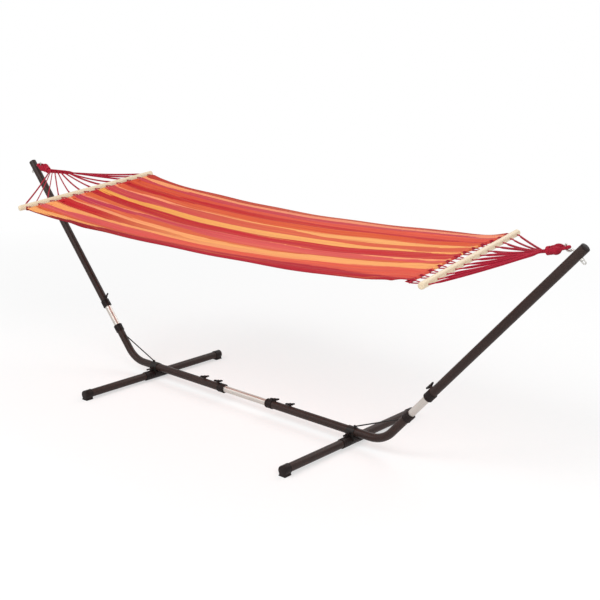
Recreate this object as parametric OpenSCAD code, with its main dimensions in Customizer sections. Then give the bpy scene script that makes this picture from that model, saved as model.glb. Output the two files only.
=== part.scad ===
// Hammock on a telescopic steel stand.
// Origin on the floor under the middle of the base tube. +X runs along the stand to the
// right end, -Y to the front ends of the feet, +Z up. Everything is in millimetres.

/* [Tubes] */
// Outer diameter of the painted steel tubes
tube_d = 38; // [34:1:42]
// Wall of the painted steel tubes
tube_wall = 1.5; // [1.2:0.1:2]
// Outer diameter of the bare inner tubes that telescope
inner_d = 32; // [26:1:33]
// Wall of the bare inner tubes
inner_wall = 1.5; // [1.2:0.1:2]
// Inside radius of the bend at the foot of each arm, to the tube axis
bend_r = 150; // [110:5:170]

/* [Base] */
// Height of the foot tube axis over the floor
foot_axis_z = 26; // [24:0.5:34]
// Half the bare length of the centre tube that shows between the collars
centre_show = 140; // [120:5:170]
// Half the length of the centre tube
centre_half = 400; // [380:5:440]
// Distance from the middle to the corner where base and arm axes cross
corner_x = 816; // [780:2:860]
// Distance from the middle to each foot tube
foot_x = 650; // [600:5:680]
// Half the length of a foot, over its caps
foot_half = 462; // [420:2:520]

/* [Arms] */
// Rise of the arms over the floor plane, in degrees
arm_angle = 49; // [45:0.5:52]
// Distance along the arm axis from the corner to the elbow collar's mouth
elbow_end = 213; // [200:1:240]
// Bare length of the riser that shows between elbow and arm
riser_show = 117; // [112:1:150]
// Distance along the arm axis from the corner to the upper end of the arm
arm_end = 1290; // [1200:5:1340]
// Length of each riser tube
riser_len = 450; // [430:5:480]
// Distance from the arm's end down to the hook's stud
hook_drop = 46; // [40:1:60]

/* [Collars and caps] */
// Outer diameter of the plastic collars
collar_d = 45; // [43:1:50]
// Length of the plastic collars
collar_len = 38; // [30:1:44]
// Thickness of a collar's lip over the tube's end
collar_lip = 3; // [2:0.5:4]
// Outer diameter of the foot caps
cap_d = 44; // [43:1:48]
// Length of the foot caps
cap_len = 42; // [38:1:60]
// Width of a foot cap's sole
sole_w = 36; // [32:1:42]
// Height of the domed top of the arm caps
dome_h = 5; // [3:0.5:8]

/* [Clamp knobs] */
// Diameter of the clamp studs
stud_d = 8; // [6:1:8]
// Height of the threaded boss on the tube
boss_h = 4; // [3:0.5:6]
// Diameter of the threaded boss
boss_d = 15; // [13:1:18]
// Length of a knob's cross handle
handle_len = 45; // [38:1:50]
// Diameter of a knob's cross handle
handle_d = 8.4; // [7:0.2:10]
// Distance from a collar's inner end to the first knob
knob_gap = 10; // [9:1:16]
// Distance between the two knobs on each side
knob_pitch = 96; // [80:1:100]

/* [Crossing bracket] */
// Width of the bracket along the base tube
saddle_w = 42; // [36:1:50]
// Thickness of the bracket's plate
saddle_t = 2.5; // [2:0.5:4]
// Distance of the cross bolt below the base tube's axis
bolt_drop = 6; // [3:0.5:9]
// Reach of the cross bolt's thread from the base tube's axis
bolt_reach = 62; // [45:1:66]
// Length of the wing nuts along the cross bolt
wing_len = 17; // [13:0.5:18]
// Diameter of the brace rod
brace_d = 6; // [5:0.5:8]

/* [Hooks] */
// Diameter of the hook's rod
hook_d = 8; // [6:0.5:8]
// Radius of the hook's cup, to the rod's axis
cup_r = 13; // [13:0.5:16]
// Diameter of the rope bundle that forms the loop
loop_d = 12; // [10:0.5:12]
// Length of the loop from the hook to the whipping
loop_len = 88; // [80:1:110]
// Fall of the loop from the hook to the whipping
loop_fall = 27; // [20:1:32]

/* [Hammock] */
// Diameter of the wooden spreader bars
bar_d = 28; // [24:1:32]
// Length of the spreader bars
bar_len = 820; // [780:5:860]
// Height of the spreader bars over the floor
bar_z = 929.5; // [920:0.5:940]
// Distance of the left bar from the middle
left_bar_x = 1161; // [1120:1:1200]
// Distance of the right bar from the middle
right_bar_x = 1207; // [1170:1:1220]
// Turn of the left bar about the vertical
left_yaw = 6; // [-8:0.5:8]
// Turn of the right bar about the vertical
right_yaw = -5.5; // [-8:0.5:8]
// Tilt of the left bar, rear end up
left_tilt = 8; // [0:0.5:10]
// Tilt of the right bar, rear end up
right_tilt = 5; // [0:0.5:10]
// Number of holes and cords in each bar
cord_count = 12; // [8:1:14]
// Distance between neighbouring holes
cord_pitch = 68; // [50:1:70]
// Thickness of each doubled cord
cord_d = 7.2; // [6:0.2:8]
// Distance from the left bar's axis to the hem rope
left_hem_gap = 40; // [34:1:60]
// Distance from the right bar's axis to the hem rope
right_hem_gap = 56; // [34:1:64]
// Diameter of the hem rope
hem_d = 8; // [6:0.5:10]
// Width of the cloth at its ends
cloth_w = 776; // [700:2:780]
// Narrowing of the cloth at its middle, on each side
cloth_waist = 22; // [0:1:40]
// Thickness of the cloth's solid
cloth_t = 3; // [2:0.5:4]
// Sag of the cloth's long edges
edge_sag = 44; // [20:1:80]
// Extra sag along the cloth's middle line
mid_sag = 34; // [0:1:60]

/* [Clearances] */
// Radial running clearance of a sliding tube in its collar
run_gap = 0.1; // [0.05:0.01:0.1]
// Radial clearance of a stud or bolt in its bore
stud_gap = 0.08; // [0.05:0.01:0.1]
// Clearance between neighbours that don't bear on each other
free_gap = 0.3; // [0.2:0.05:0.5]
// Clearance of the rope loop in its hook
swing_gap = 0.5; // [0.4:0.05:0.6]

/* [Hidden] */
$fn = 48;

tube_r = tube_d / 2;
bore_r = tube_r - tube_wall;
inner_r = inner_d / 2;
collar_r = collar_d / 2;
stud_r = stud_d / 2;
seam = 0.4;                                  // half length of the seam ring after a bend
base_z = foot_axis_z + tube_d + free_gap;    // the base tube rides on the foot hubs
bend_run = bend_r * tan(arm_angle / 2);      // tangent length of the bend
tube_start = centre_show + collar_lip;
elbow_tube_end = elbow_end - collar_lip;
arm_start = elbow_end + riser_show;          // mouth of the arm's collar
arm_tube_start = arm_start + collar_lip;
riser_end = elbow_end + riser_show + 210;
arm_knob_at = arm_start + collar_len + knob_gap;
inner_knob_x = centre_show + collar_len + knob_gap;
outer_knob_x = inner_knob_x + knob_pitch;
hook_at = arm_end - hook_drop;

// A point on an arm: distance along its axis, then distance out from the axis on the
// outer side. Right arm; the left one is its mirror image.
function arm_pt(along, out = 0) = [
    corner_x + along * cos(arm_angle) + out * sin(arm_angle), 0,
    base_z + along * sin(arm_angle) - out * cos(arm_angle)];

// Knob, measured from the tube's axis along the stud
boss_top = tube_r + boss_h;
handle_z = boss_top + 0.6 + 3.2 + handle_d / 2;
hub_r = 6.5;

// Crossing bracket
bolt_z = base_z - bolt_drop;
cheek_in = tube_r + free_gap;
cheek_out = cheek_in + saddle_t;
strap_top = base_z + cheek_out;
hub_half = 42;                               // half the length of the hub's sleeve
ring_len = 35;
foot_in = hub_half + 0.5;                    // inner end of the foot tubes
stub_half = 140;
wing_hub_r = 7;
wing_r = bolt_z - foot_axis_z - tube_r - 1;  // wings clear the hub in a full turn
wing_t = 4;
wing_seat = cheek_out + free_gap;
brace_at = 150;                              // where the brace meets the elbow, along the arm
lug_h = 9;

// Hook: the rod leaves the arm square to it, dips, then turns up round the cup
hook_r = hook_d / 2;
dip_r = 7;
dip_end = 225;                               // heading at the end of the dip, degrees
tip_end = 88;                                // heading of the tip, degrees
hook_heading = 90 + arm_angle;
hook_out = tube_r + 7.3;                     // reach of the stud on the outer side
hook_in = tube_r + 2;
tip_len = 10;
eye_rod_r = 2.5;
eye_bend_r = 5.5;
eye_straight = 9;
nut_r = 8;
nut_len = 8.5;
dip_start = arm_pt(hook_at, -hook_in);
link_len = 1;                                // straight run between dip and cup
dip_stop = dip_start + link_len * [cos(dip_end), 0, sin(dip_end)]
    + dip_r * [sin(dip_end) - sin(hook_heading), 0, cos(hook_heading) - cos(dip_end)];
cup_x = dip_stop[0] + cup_r * cos(dip_end - 90);
cup_z = dip_stop[2] + cup_r * sin(dip_end - 90);

// Rope loop: its bundle lies against the hook's tip, on the swing axis
loop_r = loop_d / 2;
loop_x = cup_x - (cup_r - hook_r - loop_r - swing_gap);
swing_z = cup_z;
loop_half_w = 14;
whip_x = loop_x - loop_len;
whip_z = swing_z - loop_fall;
whip_len = 18;
core_r = loop_r + loop_d / 2 + 0.3;
whip_r = core_r + 3;
loop_slope = atan(loop_fall / loop_len);

// Spreader bars and cloth
bar_r = bar_d / 2;
cord_r = cord_d / 2;
hole_r = cord_r + 0.4;
hem_r = hem_d / 2;
knee = bar_r + cord_r + 0.6;                 // where a cord turns into its hole
cloth_nu = 30;
cloth_nv = 10;

function turn_x(p, a) = [p[0], p[1] * cos(a) - p[2] * sin(a), p[1] * sin(a) + p[2] * cos(a)];
function turn_z(p, a) = [p[0] * cos(a) - p[1] * sin(a), p[0] * sin(a) + p[1] * cos(a), p[2]];
// A point given in a bar's own frame: x square to the bar, y along it
function bar_pt(side, p) = side < 0
    ? [-left_bar_x, 0, bar_z] + turn_z(turn_x(p, left_tilt), -left_yaw)
    : [right_bar_x, 0, bar_z] + turn_z(turn_x(p, right_tilt), -right_yaw);
function hem_gap(side) = side < 0 ? left_hem_gap : right_hem_gap;
function cord_y(i) = (i - (cord_count - 1) / 2) * cord_pitch;

// ---------- helpers ----------

// Builds the right side, or its mirror image for the left
module on_side(side) {
    if (side < 0) mirror([1, 0, 0]) children();
    else children();
}

// Bends a rod or tube along straight and bent runs, from the origin along +X. A run is
// [length, 0] or [radius, angle]; a positive angle turns towards +Z, and a straight run
// follows every bend, behind a low seam ring.
module bent(runs, outer, inner = 0, i = 0) {
    if (i < len(runs)) {
        d = runs[i][0];
        a = runs[i][1];
        s = sign(a);
        if (a == 0) {
            slack = i == 0 ? 0 : seam;
            rotate([0, 90, 0]) translate([0, 0, slack]) tube(outer, inner, d - slack);
            translate([d, 0, 0]) bent(runs, outer, inner, i + 1);
        } else {
            translate([0, 0, s * d]) {
                mirror([0, 0, s < 0 ? 1 : 0]) rotate([90, 0, 0]) rotate([0, 0, -90])
                    rotate_extrude(angle = abs(a)) translate([d, 0]) ring(outer, inner);
                rotate([0, -a, 0]) translate([0, 0, -s * d]) {
                    rotate([0, 90, 0]) translate([0, 0, -seam])
                        tube(outer + 0.1, max(inner - 0.1, 0), 3 * seam);
                    bent(runs, outer, inner, i + 1);
                }
            }
        }
    }
}

// Straight rod between two points
module rod(p, q, r, sides = 24) {
    v = q - p;
    l = norm(v);
    translate(p) rotate([0, acos(v[2] / l), atan2(v[1], v[0])]) cylinder(r = r, h = l, $fn = sides);
}

module ring(outer, inner) {
    difference() {
        circle(r = outer);
        if (inner > 0) circle(r = inner);
    }
}

// Tube along +Z
module tube(outer, inner, h) {
    linear_extrude(h) ring(outer, inner);
}

// Puts +Z along the arm's axis with the origin at a distance from the corner,
// and +X on the arm's inner side
module on_arm(along) {
    translate(arm_pt(along)) rotate([0, 90 - arm_angle, 0]) rotate([0, 0, 180]) children();
}

// ---------- base ----------

module centre_tube() {
    color("silver") translate([-centre_half, 0, base_z]) rotate([0, 90, 0])
        tube(inner_r, inner_r - inner_wall, 2 * centre_half);
}

module base_tube(side) {
    color([0.23, 0.2, 0.19]) on_side(side) difference() {
        translate([tube_start, 0, base_z])
            bent([[corner_x - bend_run - tube_start, 0], [bend_r, arm_angle],
                [elbow_tube_end - bend_run, 0]], tube_r, bore_r);
        for (x = [inner_knob_x, outer_knob_x])
            translate([x, 0, base_z]) cylinder(r = stud_r + stud_gap, h = tube_d);
        translate([foot_x, 0, bolt_z]) rotate([90, 0, 0])
            cylinder(r = stud_r + free_gap, h = 2 * tube_d, center = true);
    }
}

// Collar on a tube's end: mouth at the origin, tube along +Z
module collar_shape() {
    difference() {
        cylinder(r = collar_r, h = collar_len);
        translate([0, 0, collar_lip]) cylinder(r = tube_r + run_gap, h = collar_len);
        translate([0, 0, -1]) cylinder(r = inner_r + run_gap, h = collar_len);
        // chamfer at the mouth
        rotate_extrude() polygon([[collar_r - 1.5, -0.01], [collar_r + 1, -0.01],
            [collar_r + 1, 2.5]]);
    }
}

module centre_collar(side) {
    color([0.08, 0.07, 0.07]) on_side(side)
        translate([centre_show, 0, base_z]) rotate([0, 90, 0]) collar_shape();
}

module elbow_collar(side) {
    color([0.08, 0.07, 0.07]) on_side(side)
        on_arm(elbow_end) mirror([0, 0, 1]) collar_shape();
}

// Threaded boss: tube axis at the origin along Y, stud along +Z
module boss_shape() {
    difference() {
        cylinder(d = boss_d, h = boss_top);
        rotate([90, 0, 0]) cylinder(r = tube_r + 0.02, h = boss_d + 2, center = true);
        cylinder(r = stud_r + stud_gap, h = boss_top + 1);
    }
}

module base_bosses(side) {
    color([0.2, 0.18, 0.17]) on_side(side)
        for (x = [inner_knob_x, outer_knob_x])
            translate([x, 0, base_z]) rotate([0, 0, 90]) boss_shape();
}

// Clamp knob: stud along +Z from the tube's axis, tip just over the inner tube
module knob_shape(tip, base) {
    translate([0, 0, tip]) cylinder(r = stud_r, h = base - tip + 1);
    translate([0, 0, base]) cylinder(r = hub_r, h = handle_d / 2 + 3.2);
    translate([0, 0, base + 3.2 + handle_d / 2]) rotate([0, 90, 0]) {
        cylinder(d = handle_d, h = handle_len - handle_d, center = true);
        for (s = [-1, 1])
            translate([0, 0, s * (handle_len - handle_d) / 2]) sphere(d = handle_d * 1.08, $fn = 24);
    }
}

module tube_knob() {
    knob_shape(inner_r + free_gap, boss_top + 0.6);
}

module base_knob(side, x, turn) {
    color([0.07, 0.06, 0.06]) on_side(side)
        translate([x, 0, base_z]) rotate([0, 0, side < 0 ? -turn : turn]) tube_knob();
}

// ---------- feet ----------

module foot_hub(side) {
    color([0.23, 0.2, 0.19]) on_side(side) translate([foot_x, 0, foot_axis_z]) rotate([90, 0, 0]) {
        difference() {
            union() {
                cylinder(r = tube_r, h = 2 * hub_half, center = true);
                cylinder(r = bore_r - 0.2, h = 2 * stub_half, center = true);
            }
            cylinder(r = bore_r - 0.2 - tube_wall, h = 2 * stub_half + 2, center = true);
        }
    }
}

// Bracket: strap over the base tube with two cheeks that stand on the foot hub
module saddle(side) {
    lower_w = saddle_w + 12;
    color([0.12, 0.11, 0.11]) on_side(side) difference() {
        union() {
            translate([foot_x, 0, base_z]) rotate([0, 90, 0]) translate([0, 0, -saddle_w / 2])
                linear_extrude(saddle_w) difference() {
                    circle(r = cheek_out);
                    circle(r = cheek_in);
                    translate([0, -50]) square([100, 100]);
                }
            for (s = [-1, 1])
                translate([foot_x, s * (cheek_in + saddle_t / 2), 0]) rotate([90, 0, 0])
                    translate([0, 0, -saddle_t / 2]) linear_extrude(saddle_t)
                    polygon([[-saddle_w / 2, base_z], [saddle_w / 2, base_z],
                        [saddle_w / 2, bolt_z - 6], [lower_w / 2, foot_axis_z + 14],
                        [lower_w / 2, foot_axis_z + 4], [lower_w / 2 - 4, foot_axis_z],
                        [-lower_w / 2 + 4, foot_axis_z], [-lower_w / 2, foot_axis_z + 4],
                        [-lower_w / 2, foot_axis_z + 14], [-saddle_w / 2, bolt_z - 6]]);
            // lug for the brace rod
            translate([foot_x + saddle_w / 2 - 12, -3, strap_top - 1]) cube([12, 6, lug_h]);
        }
        translate([foot_x, 0, foot_axis_z]) rotate([90, 0, 0])
            cylinder(r = tube_r + 0.02, h = 60, center = true);
        translate([foot_x, 0, bolt_z]) rotate([90, 0, 0])
            cylinder(r = stud_r + stud_gap, h = 60, center = true);
    }
}

// Wing nut or wing head: its seat at the origin, its axis along +Z
module wing(bore = 0) {
    difference() {
        union() {
            cylinder(r = wing_hub_r, h = wing_len * 0.6);
            for (a = [0, 180])
                rotate([90, 0, a]) translate([0, 0, -wing_t / 2]) linear_extrude(wing_t)
                    polygon([[wing_hub_r - 3, 1], [wing_hub_r + 1, 1], [wing_r, wing_len * 0.5],
                        [wing_r, wing_len - 1], [wing_r - 1, wing_len],
                        [wing_r - 4, wing_len * 0.8], [wing_hub_r - 3, wing_len * 0.55]]);
        }
        if (bore > 0) translate([0, 0, -1]) cylinder(r = bore, h = wing_len + 2);
    }
}

// Cross bolt: wing head at the rear, thread out at the front
module cross_bolt(side) {
    color([0.07, 0.06, 0.06]) on_side(side)
        translate([foot_x, 0, bolt_z]) rotate([-90, 0, 0]) {
            translate([0, 0, -bolt_reach]) cylinder(r = stud_r, h = bolt_reach + wing_seat + 1);
            translate([0, 0, wing_seat]) rotate([0, 0, 65]) wing();
        }
}

module cross_nut(side) {
    color([0.07, 0.06, 0.06]) on_side(side)
        translate([foot_x, -wing_seat, bolt_z]) rotate([90, 0, 0]) rotate([0, 0, 60])
        wing(stud_r + stud_gap);
}

// Brace rod from the bracket's lug to the inner side of the elbow
module brace(side) {
    start = [foot_x + saddle_w / 2 - 2, 0, strap_top + lug_h - 1 - brace_d / 2];
    color([0.12, 0.11, 0.11]) on_side(side) difference() {
        rod(start, arm_pt(brace_at, -tube_r + 4), brace_d / 2);
        rod(arm_pt(bend_run), arm_pt(elbow_end), tube_r + 0.1, 48);
        translate([foot_x, -tube_r, base_z]) cube([saddle_w / 2, tube_d, 2 * tube_d]);
    }
}

module foot_tube(side, end) {
    color([0.23, 0.2, 0.19]) on_side(side) mirror([0, end < 0 ? 0 : 1, 0])
        translate([foot_x, -foot_in, foot_axis_z]) rotate([90, 0, 0])
        tube(tube_r, bore_r, foot_half - 8 - foot_in);
}

module foot_collars(side) {
    color([0.08, 0.07, 0.07]) on_side(side)
        for (s = [-1, 1])
            translate([foot_x, s * (foot_in + ring_len / 2 + 0.5), foot_axis_z])
                rotate([90, 0, 0]) rotate_extrude() polygon([
                    [tube_r + run_gap, -ring_len / 2], [collar_r - 1, -ring_len / 2],
                    [collar_r, -ring_len / 2 + 2], [collar_r, ring_len / 2 - 2],
                    [collar_r - 1, ring_len / 2], [tube_r + run_gap, ring_len / 2]]);
}

// Cap on a foot's end: round sleeve with a bevelled end, on a low block with a flat sole
module foot_cap(side, end) {
    cap_r = cap_d / 2;
    bevel = 5;
    block_w = sole_w - 3;
    color([0.08, 0.07, 0.07]) on_side(side) mirror([0, end < 0 ? 0 : 1, 0])
        translate([foot_x, -foot_half + cap_len, 0]) rotate([90, 0, 0]) difference() {
            union() {
                translate([0, foot_axis_z, 0]) cylinder(r = cap_r, h = cap_len - bevel);
                translate([0, foot_axis_z, cap_len - bevel])
                    cylinder(r1 = cap_r, r2 = cap_r - bevel, h = bevel);
                translate([-block_w / 2, 2, 0]) cube([block_w, foot_axis_z - 6, cap_len - 2]);
                translate([-sole_w / 2, 0, 0]) cube([sole_w, 4, cap_len - 1]);
            }
            translate([0, foot_axis_z, -1]) cylinder(r = tube_r + run_gap, h = cap_len - 7 + 0.2);
        }
}

// ---------- arms ----------

module riser(side) {
    color("silver") on_side(side) on_arm(riser_end - riser_len)
        tube(inner_r, inner_r - inner_wall, riser_len);
}

module arm_tube(side) {
    color([0.23, 0.2, 0.19]) on_side(side) difference() {
        on_arm(arm_tube_start) tube(tube_r, bore_r, arm_end - dome_h - 3 - arm_tube_start);
        on_arm(hook_at) rotate([0, 90, 0]) cylinder(r = hook_r + stud_gap, h = 60, center = true);
        on_arm(arm_knob_at) rotate([0, 90, 0]) cylinder(r = stud_r + stud_gap, h = 30);
    }
}

module arm_collar(side) {
    color([0.08, 0.07, 0.07]) on_side(side) on_arm(arm_start) collar_shape();
}

module arm_boss(side) {
    color([0.2, 0.18, 0.17]) on_side(side)
        on_arm(arm_knob_at) rotate([0, 90, 0]) rotate([0, 0, 90]) boss_shape();
}

module arm_knob(side, turn) {
    color([0.07, 0.06, 0.06]) on_side(side)
        on_arm(arm_knob_at) rotate([0, 90, 0]) rotate([0, 0, turn]) tube_knob();
}

// Domed plug in the arm's upper end
module arm_cap(side) {
    plug_len = 18;
    dome = [for (a = [0 : 15 : 90]) [tube_r * cos(a), 3 + dome_h * sin(a)]];
    color([0.1, 0.09, 0.09]) on_side(side) on_arm(arm_end - dome_h - 3) rotate_extrude()
        polygon(concat([[0, -plug_len], [bore_r - 0.1, -plug_len], [bore_r - 0.1, 0], [tube_r, 0]],
            dome));
}

module hook(side) {
    color([0.75, 0.74, 0.72]) on_side(side) {
        translate(arm_pt(hook_at, hook_out)) rotate([0, -hook_heading, 0])
            bent([[hook_out + hook_in, 0], [dip_r, dip_end - hook_heading], [link_len, 0],
                [cup_r, tip_end - dip_end], [tip_len, 0]], hook_r);
        translate([cup_x + cup_r * cos(tip_end + 90) + tip_len * cos(tip_end), 0,
            cup_z + cup_r * sin(tip_end + 90) + tip_len * sin(tip_end)])
            sphere(r = hook_r + 0.15, $fn = 32);
    }
}

// Eye nut on the hook's stud, outside the arm
module eye_nut(side) {
    seat = tube_r + free_gap;
    color([0.75, 0.74, 0.72]) rotate([0, 0, side < 0 ? 0 : 180]) on_side(-1)
        translate(arm_pt(hook_at)) rotate([0, 180 - arm_angle, 0]) {
            difference() {
                translate([0, 0, seat]) cylinder(r = nut_r, h = nut_len);
                cylinder(r = hook_r + stud_gap, h = hook_out + 0.3);
            }
            translate([eye_bend_r, 0, seat + nut_len - 1]) rotate([0, -90, 0])
                bent([[eye_straight + 1, 0], [eye_bend_r, 180], [eye_straight + 1, 0]], eye_rod_r);
        }
}

// ---------- hammock ----------

// Frame at the loop's end on the hook: +X towards the whipping, sloping down
module on_loop(side) {
    rotate([0, 0, side < 0 ? 180 : 0]) mirror([1, 0, 0])
        translate([-loop_x, 0, swing_z]) rotate([0, loop_slope, 0]) children();
}

module loop(side) {
    reach = norm([loop_len, loop_fall]) - whip_len / 2;
    color([0.72, 0.05, 0.12]) on_loop(side) {
        translate([loop_half_w, 0, 0]) rotate([0, 0, 90])
            rotate_extrude(angle = 180) translate([loop_half_w, 0]) circle(r = loop_r, $fn = 32);
        for (s = [-1, 1]) {
            translate([loop_half_w, s * loop_half_w, 0]) sphere(r = loop_r + 0.3, $fn = 32);
            rod([loop_half_w, s * loop_half_w, 0], [reach - free_gap, s * (loop_r + 0.15), 0], loop_r, 32);
        }
    }
}

module whipping(side) {
    color([0.6, 0.03, 0.09]) on_loop(side) translate([norm([loop_len, loop_fall]), 0, 0])
        rotate([0, 90, 0]) translate([0, 0, -whip_len / 2]) tube(whip_r, core_r + 0.1, whip_len);
}

// Twelve doubled cords that fan out from the whipping, with the core it binds
module cords(side) {
    fan_at = whip_len / 2 + 4;
    start = [side * (whip_x - fan_at * cos(loop_slope)), 0, whip_z - fan_at * sin(loop_slope)];
    color([0.72, 0.05, 0.12]) {
        on_loop(side) translate([norm([loop_len, loop_fall]) - whip_len / 2 + 1, 0, 0])
            rotate([0, 90, 0]) cylinder(r = core_r, h = whip_len + 4, $fn = 32);
        for (i = [0 : cord_count - 1]) {
            turn = bar_pt(side, [side * knee, cord_y(i), 0]);
            rod(start + [0, cord_y(i) * 0.012, 0], turn, cord_r, 8);
            translate(turn) sphere(r = cord_r + 0.25, $fn = 16);
            rod(turn, bar_pt(side, [-side * (hem_gap(side) - hem_r - 0.2), cord_y(i), 0]), cord_r, 8);
        }
    }
}

module spreader(side) {
    round_r = bar_r / 2;
    half = bar_len / 2;
    nose = [for (a = [0 : 15 : 90])
        [bar_r - round_r + round_r * cos(a), half - round_r + round_r * sin(a)]];
    tail = [for (i = [len(nose) - 1 : -1 : 0]) [nose[i][0], -nose[i][1]]];
    color([0.9, 0.8, 0.6]) translate(bar_pt(side, [0, 0, 0]))
        rotate([side < 0 ? left_tilt : right_tilt, 0, side < 0 ? -left_yaw : -right_yaw])
        difference() {
            rotate([90, 0, 0])
                rotate_extrude() polygon(concat([[0, -half]], tail, nose, [[0, half]]));
            for (i = [0 : cord_count - 1])
                translate([0, cord_y(i), 0]) rotate([0, 90, 0])
                    cylinder(r = hole_r, h = bar_d + 2, center = true);
        }
}

module hem_rope(side) {
    color([0.5, 0.03, 0.08])
        rod(bar_pt(side, [-side * hem_gap(side), -cloth_w / 2, 0]),
            bar_pt(side, [-side * hem_gap(side), cloth_w / 2, 0]), hem_r);
}

// Cloth: a ruled sheet between the hem ropes, sagging along its length and its middle
function cloth_mid(u, v) =
    let (seam_in = hem_r + 0.2,
         w = cloth_w / 2 - cloth_waist * sin(180 * u),
         a = bar_pt(-1, [left_hem_gap + seam_in, v * w, 0]),
         b = bar_pt(1, [-right_hem_gap - seam_in, v * w, 0]),
         dip = edge_sag * 4 * u * (1 - u) + mid_sag * (1 - v * v) * sin(180 * u))
    a * (1 - u) + b * u - [0, 0, dip];

module cloth() {
    nu = cloth_nu;
    nv = cloth_nv;
    row = nv + 1;
    layer = (nu + 1) * row;
    pts = [for (k = [0, 1]) for (i = [0 : nu]) for (j = [0 : nv])
        cloth_mid(i / nu, 2 * j / nv - 1) + [0, 0, (k - 0.5) * cloth_t]];
    function id(k, i, j) = k * layer + i * row + j;
    faces = concat(
        [for (i = [0 : nu - 1]) for (j = [0 : nv - 1])
            each [[id(1, i, j), id(1, i, j + 1), id(1, i + 1, j + 1)],
                  [id(1, i, j), id(1, i + 1, j + 1), id(1, i + 1, j)],
                  [id(0, i, j), id(0, i + 1, j + 1), id(0, i, j + 1)],
                  [id(0, i, j), id(0, i + 1, j), id(0, i + 1, j + 1)]]],
        [for (i = [0 : nu - 1])
            each [[id(0, i, 0), id(1, i, 0), id(1, i + 1, 0)],
                  [id(0, i, 0), id(1, i + 1, 0), id(0, i + 1, 0)],
                  [id(0, i, nv), id(1, i + 1, nv), id(1, i, nv)],
                  [id(0, i, nv), id(0, i + 1, nv), id(1, i + 1, nv)]]],
        [for (j = [0 : nv - 1])
            each [[id(0, 0, j), id(1, 0, j + 1), id(1, 0, j)],
                  [id(0, 0, j), id(0, 0, j + 1), id(1, 0, j + 1)],
                  [id(0, nu, j), id(1, nu, j), id(1, nu, j + 1)],
                  [id(0, nu, j), id(1, nu, j + 1), id(0, nu, j + 1)]]]);
    color([0.95, 0.4, 0.25]) polyhedron(pts, faces);
}

centre_tube();
base_tube(-1);  // left_base_tube
base_tube(1);  // right_base_tube
centre_collar(-1);  // left_centre_collar
centre_collar(1);  // right_centre_collar
elbow_collar(-1);  // left_elbow_collar
elbow_collar(1);  // right_elbow_collar
base_bosses(-1);  // left_base_bosses
base_bosses(1);  // right_base_bosses
riser(-1);  // left_riser
riser(1);  // right_riser
arm_tube(-1);  // left_arm_tube
arm_tube(1);  // right_arm_tube
arm_collar(-1);  // left_arm_collar
arm_collar(1);  // right_arm_collar
arm_boss(-1);  // left_arm_boss
arm_boss(1);  // right_arm_boss
arm_cap(-1);  // left_arm_cap
arm_cap(1);  // right_arm_cap
hook(-1);  // left_hook
hook(1);  // right_hook
eye_nut(-1);  // left_eye_nut
eye_nut(1);  // right_eye_nut
base_knob(-1, inner_knob_x, 35);  // left_inner_knob
base_knob(1, inner_knob_x, 30);  // right_inner_knob
base_knob(-1, outer_knob_x, 48);  // left_outer_knob
base_knob(1, outer_knob_x, 40);  // right_outer_knob
arm_knob(-1, 50);  // left_arm_knob
arm_knob(1, 8);  // right_arm_knob
foot_hub(-1);  // left_foot_hub
foot_hub(1);  // right_foot_hub
saddle(-1);  // left_saddle
saddle(1);  // right_saddle
cross_bolt(-1);  // left_cross_bolt
cross_bolt(1);  // right_cross_bolt
cross_nut(-1);  // left_cross_nut
cross_nut(1);  // right_cross_nut
brace(-1);  // left_brace
brace(1);  // right_brace
foot_tube(-1, -1);  // left_front_foot
foot_tube(-1, 1);  // left_rear_foot
foot_tube(1, -1);  // right_front_foot
foot_tube(1, 1);  // right_rear_foot
foot_collars(-1);  // left_foot_collars
foot_collars(1);  // right_foot_collars
foot_cap(-1, -1);  // left_front_cap
foot_cap(-1, 1);  // left_rear_cap
foot_cap(1, -1);  // right_front_cap
foot_cap(1, 1);  // right_rear_cap
loop(-1);  // left_loop
loop(1);  // right_loop
whipping(-1);  // left_whipping
whipping(1);  // right_whipping
cords(-1);  // left_cords
cords(1);  // right_cords
spreader(-1);  // left_spreader
spreader(1);  // right_spreader
hem_rope(-1);  // left_hem_rope
hem_rope(1);  // right_hem_rope
cloth();
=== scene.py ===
"""Hammock on a telescopic steel stand: finishes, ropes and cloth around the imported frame.

Lengths are in metres, in the frame's own axes: +X along the stand, -Y to the front, +Z up.
"""
import logging
import math
from dataclasses import dataclass, field
from enum import Enum

import bmesh
import bpy
import numpy as np
from mathutils import Matrix, Vector


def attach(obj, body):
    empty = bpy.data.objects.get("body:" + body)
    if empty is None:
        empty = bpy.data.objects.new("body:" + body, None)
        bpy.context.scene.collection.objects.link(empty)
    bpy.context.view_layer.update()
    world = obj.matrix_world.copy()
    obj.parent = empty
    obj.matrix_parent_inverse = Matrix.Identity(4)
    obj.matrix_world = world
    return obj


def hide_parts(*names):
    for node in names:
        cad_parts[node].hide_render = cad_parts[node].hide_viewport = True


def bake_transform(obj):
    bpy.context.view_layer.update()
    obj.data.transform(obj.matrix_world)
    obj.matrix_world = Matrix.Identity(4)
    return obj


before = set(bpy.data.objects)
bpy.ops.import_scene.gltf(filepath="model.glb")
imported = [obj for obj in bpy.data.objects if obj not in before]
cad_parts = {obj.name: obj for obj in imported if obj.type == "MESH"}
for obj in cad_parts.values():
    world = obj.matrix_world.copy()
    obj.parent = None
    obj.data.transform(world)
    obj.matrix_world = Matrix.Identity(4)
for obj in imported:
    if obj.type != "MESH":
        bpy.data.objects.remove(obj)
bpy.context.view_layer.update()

log = logging.getLogger("hammock")
Triple = tuple[float, float, float]
Colour = Triple


# ---------------------------------------------------------------- shader maths

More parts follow.
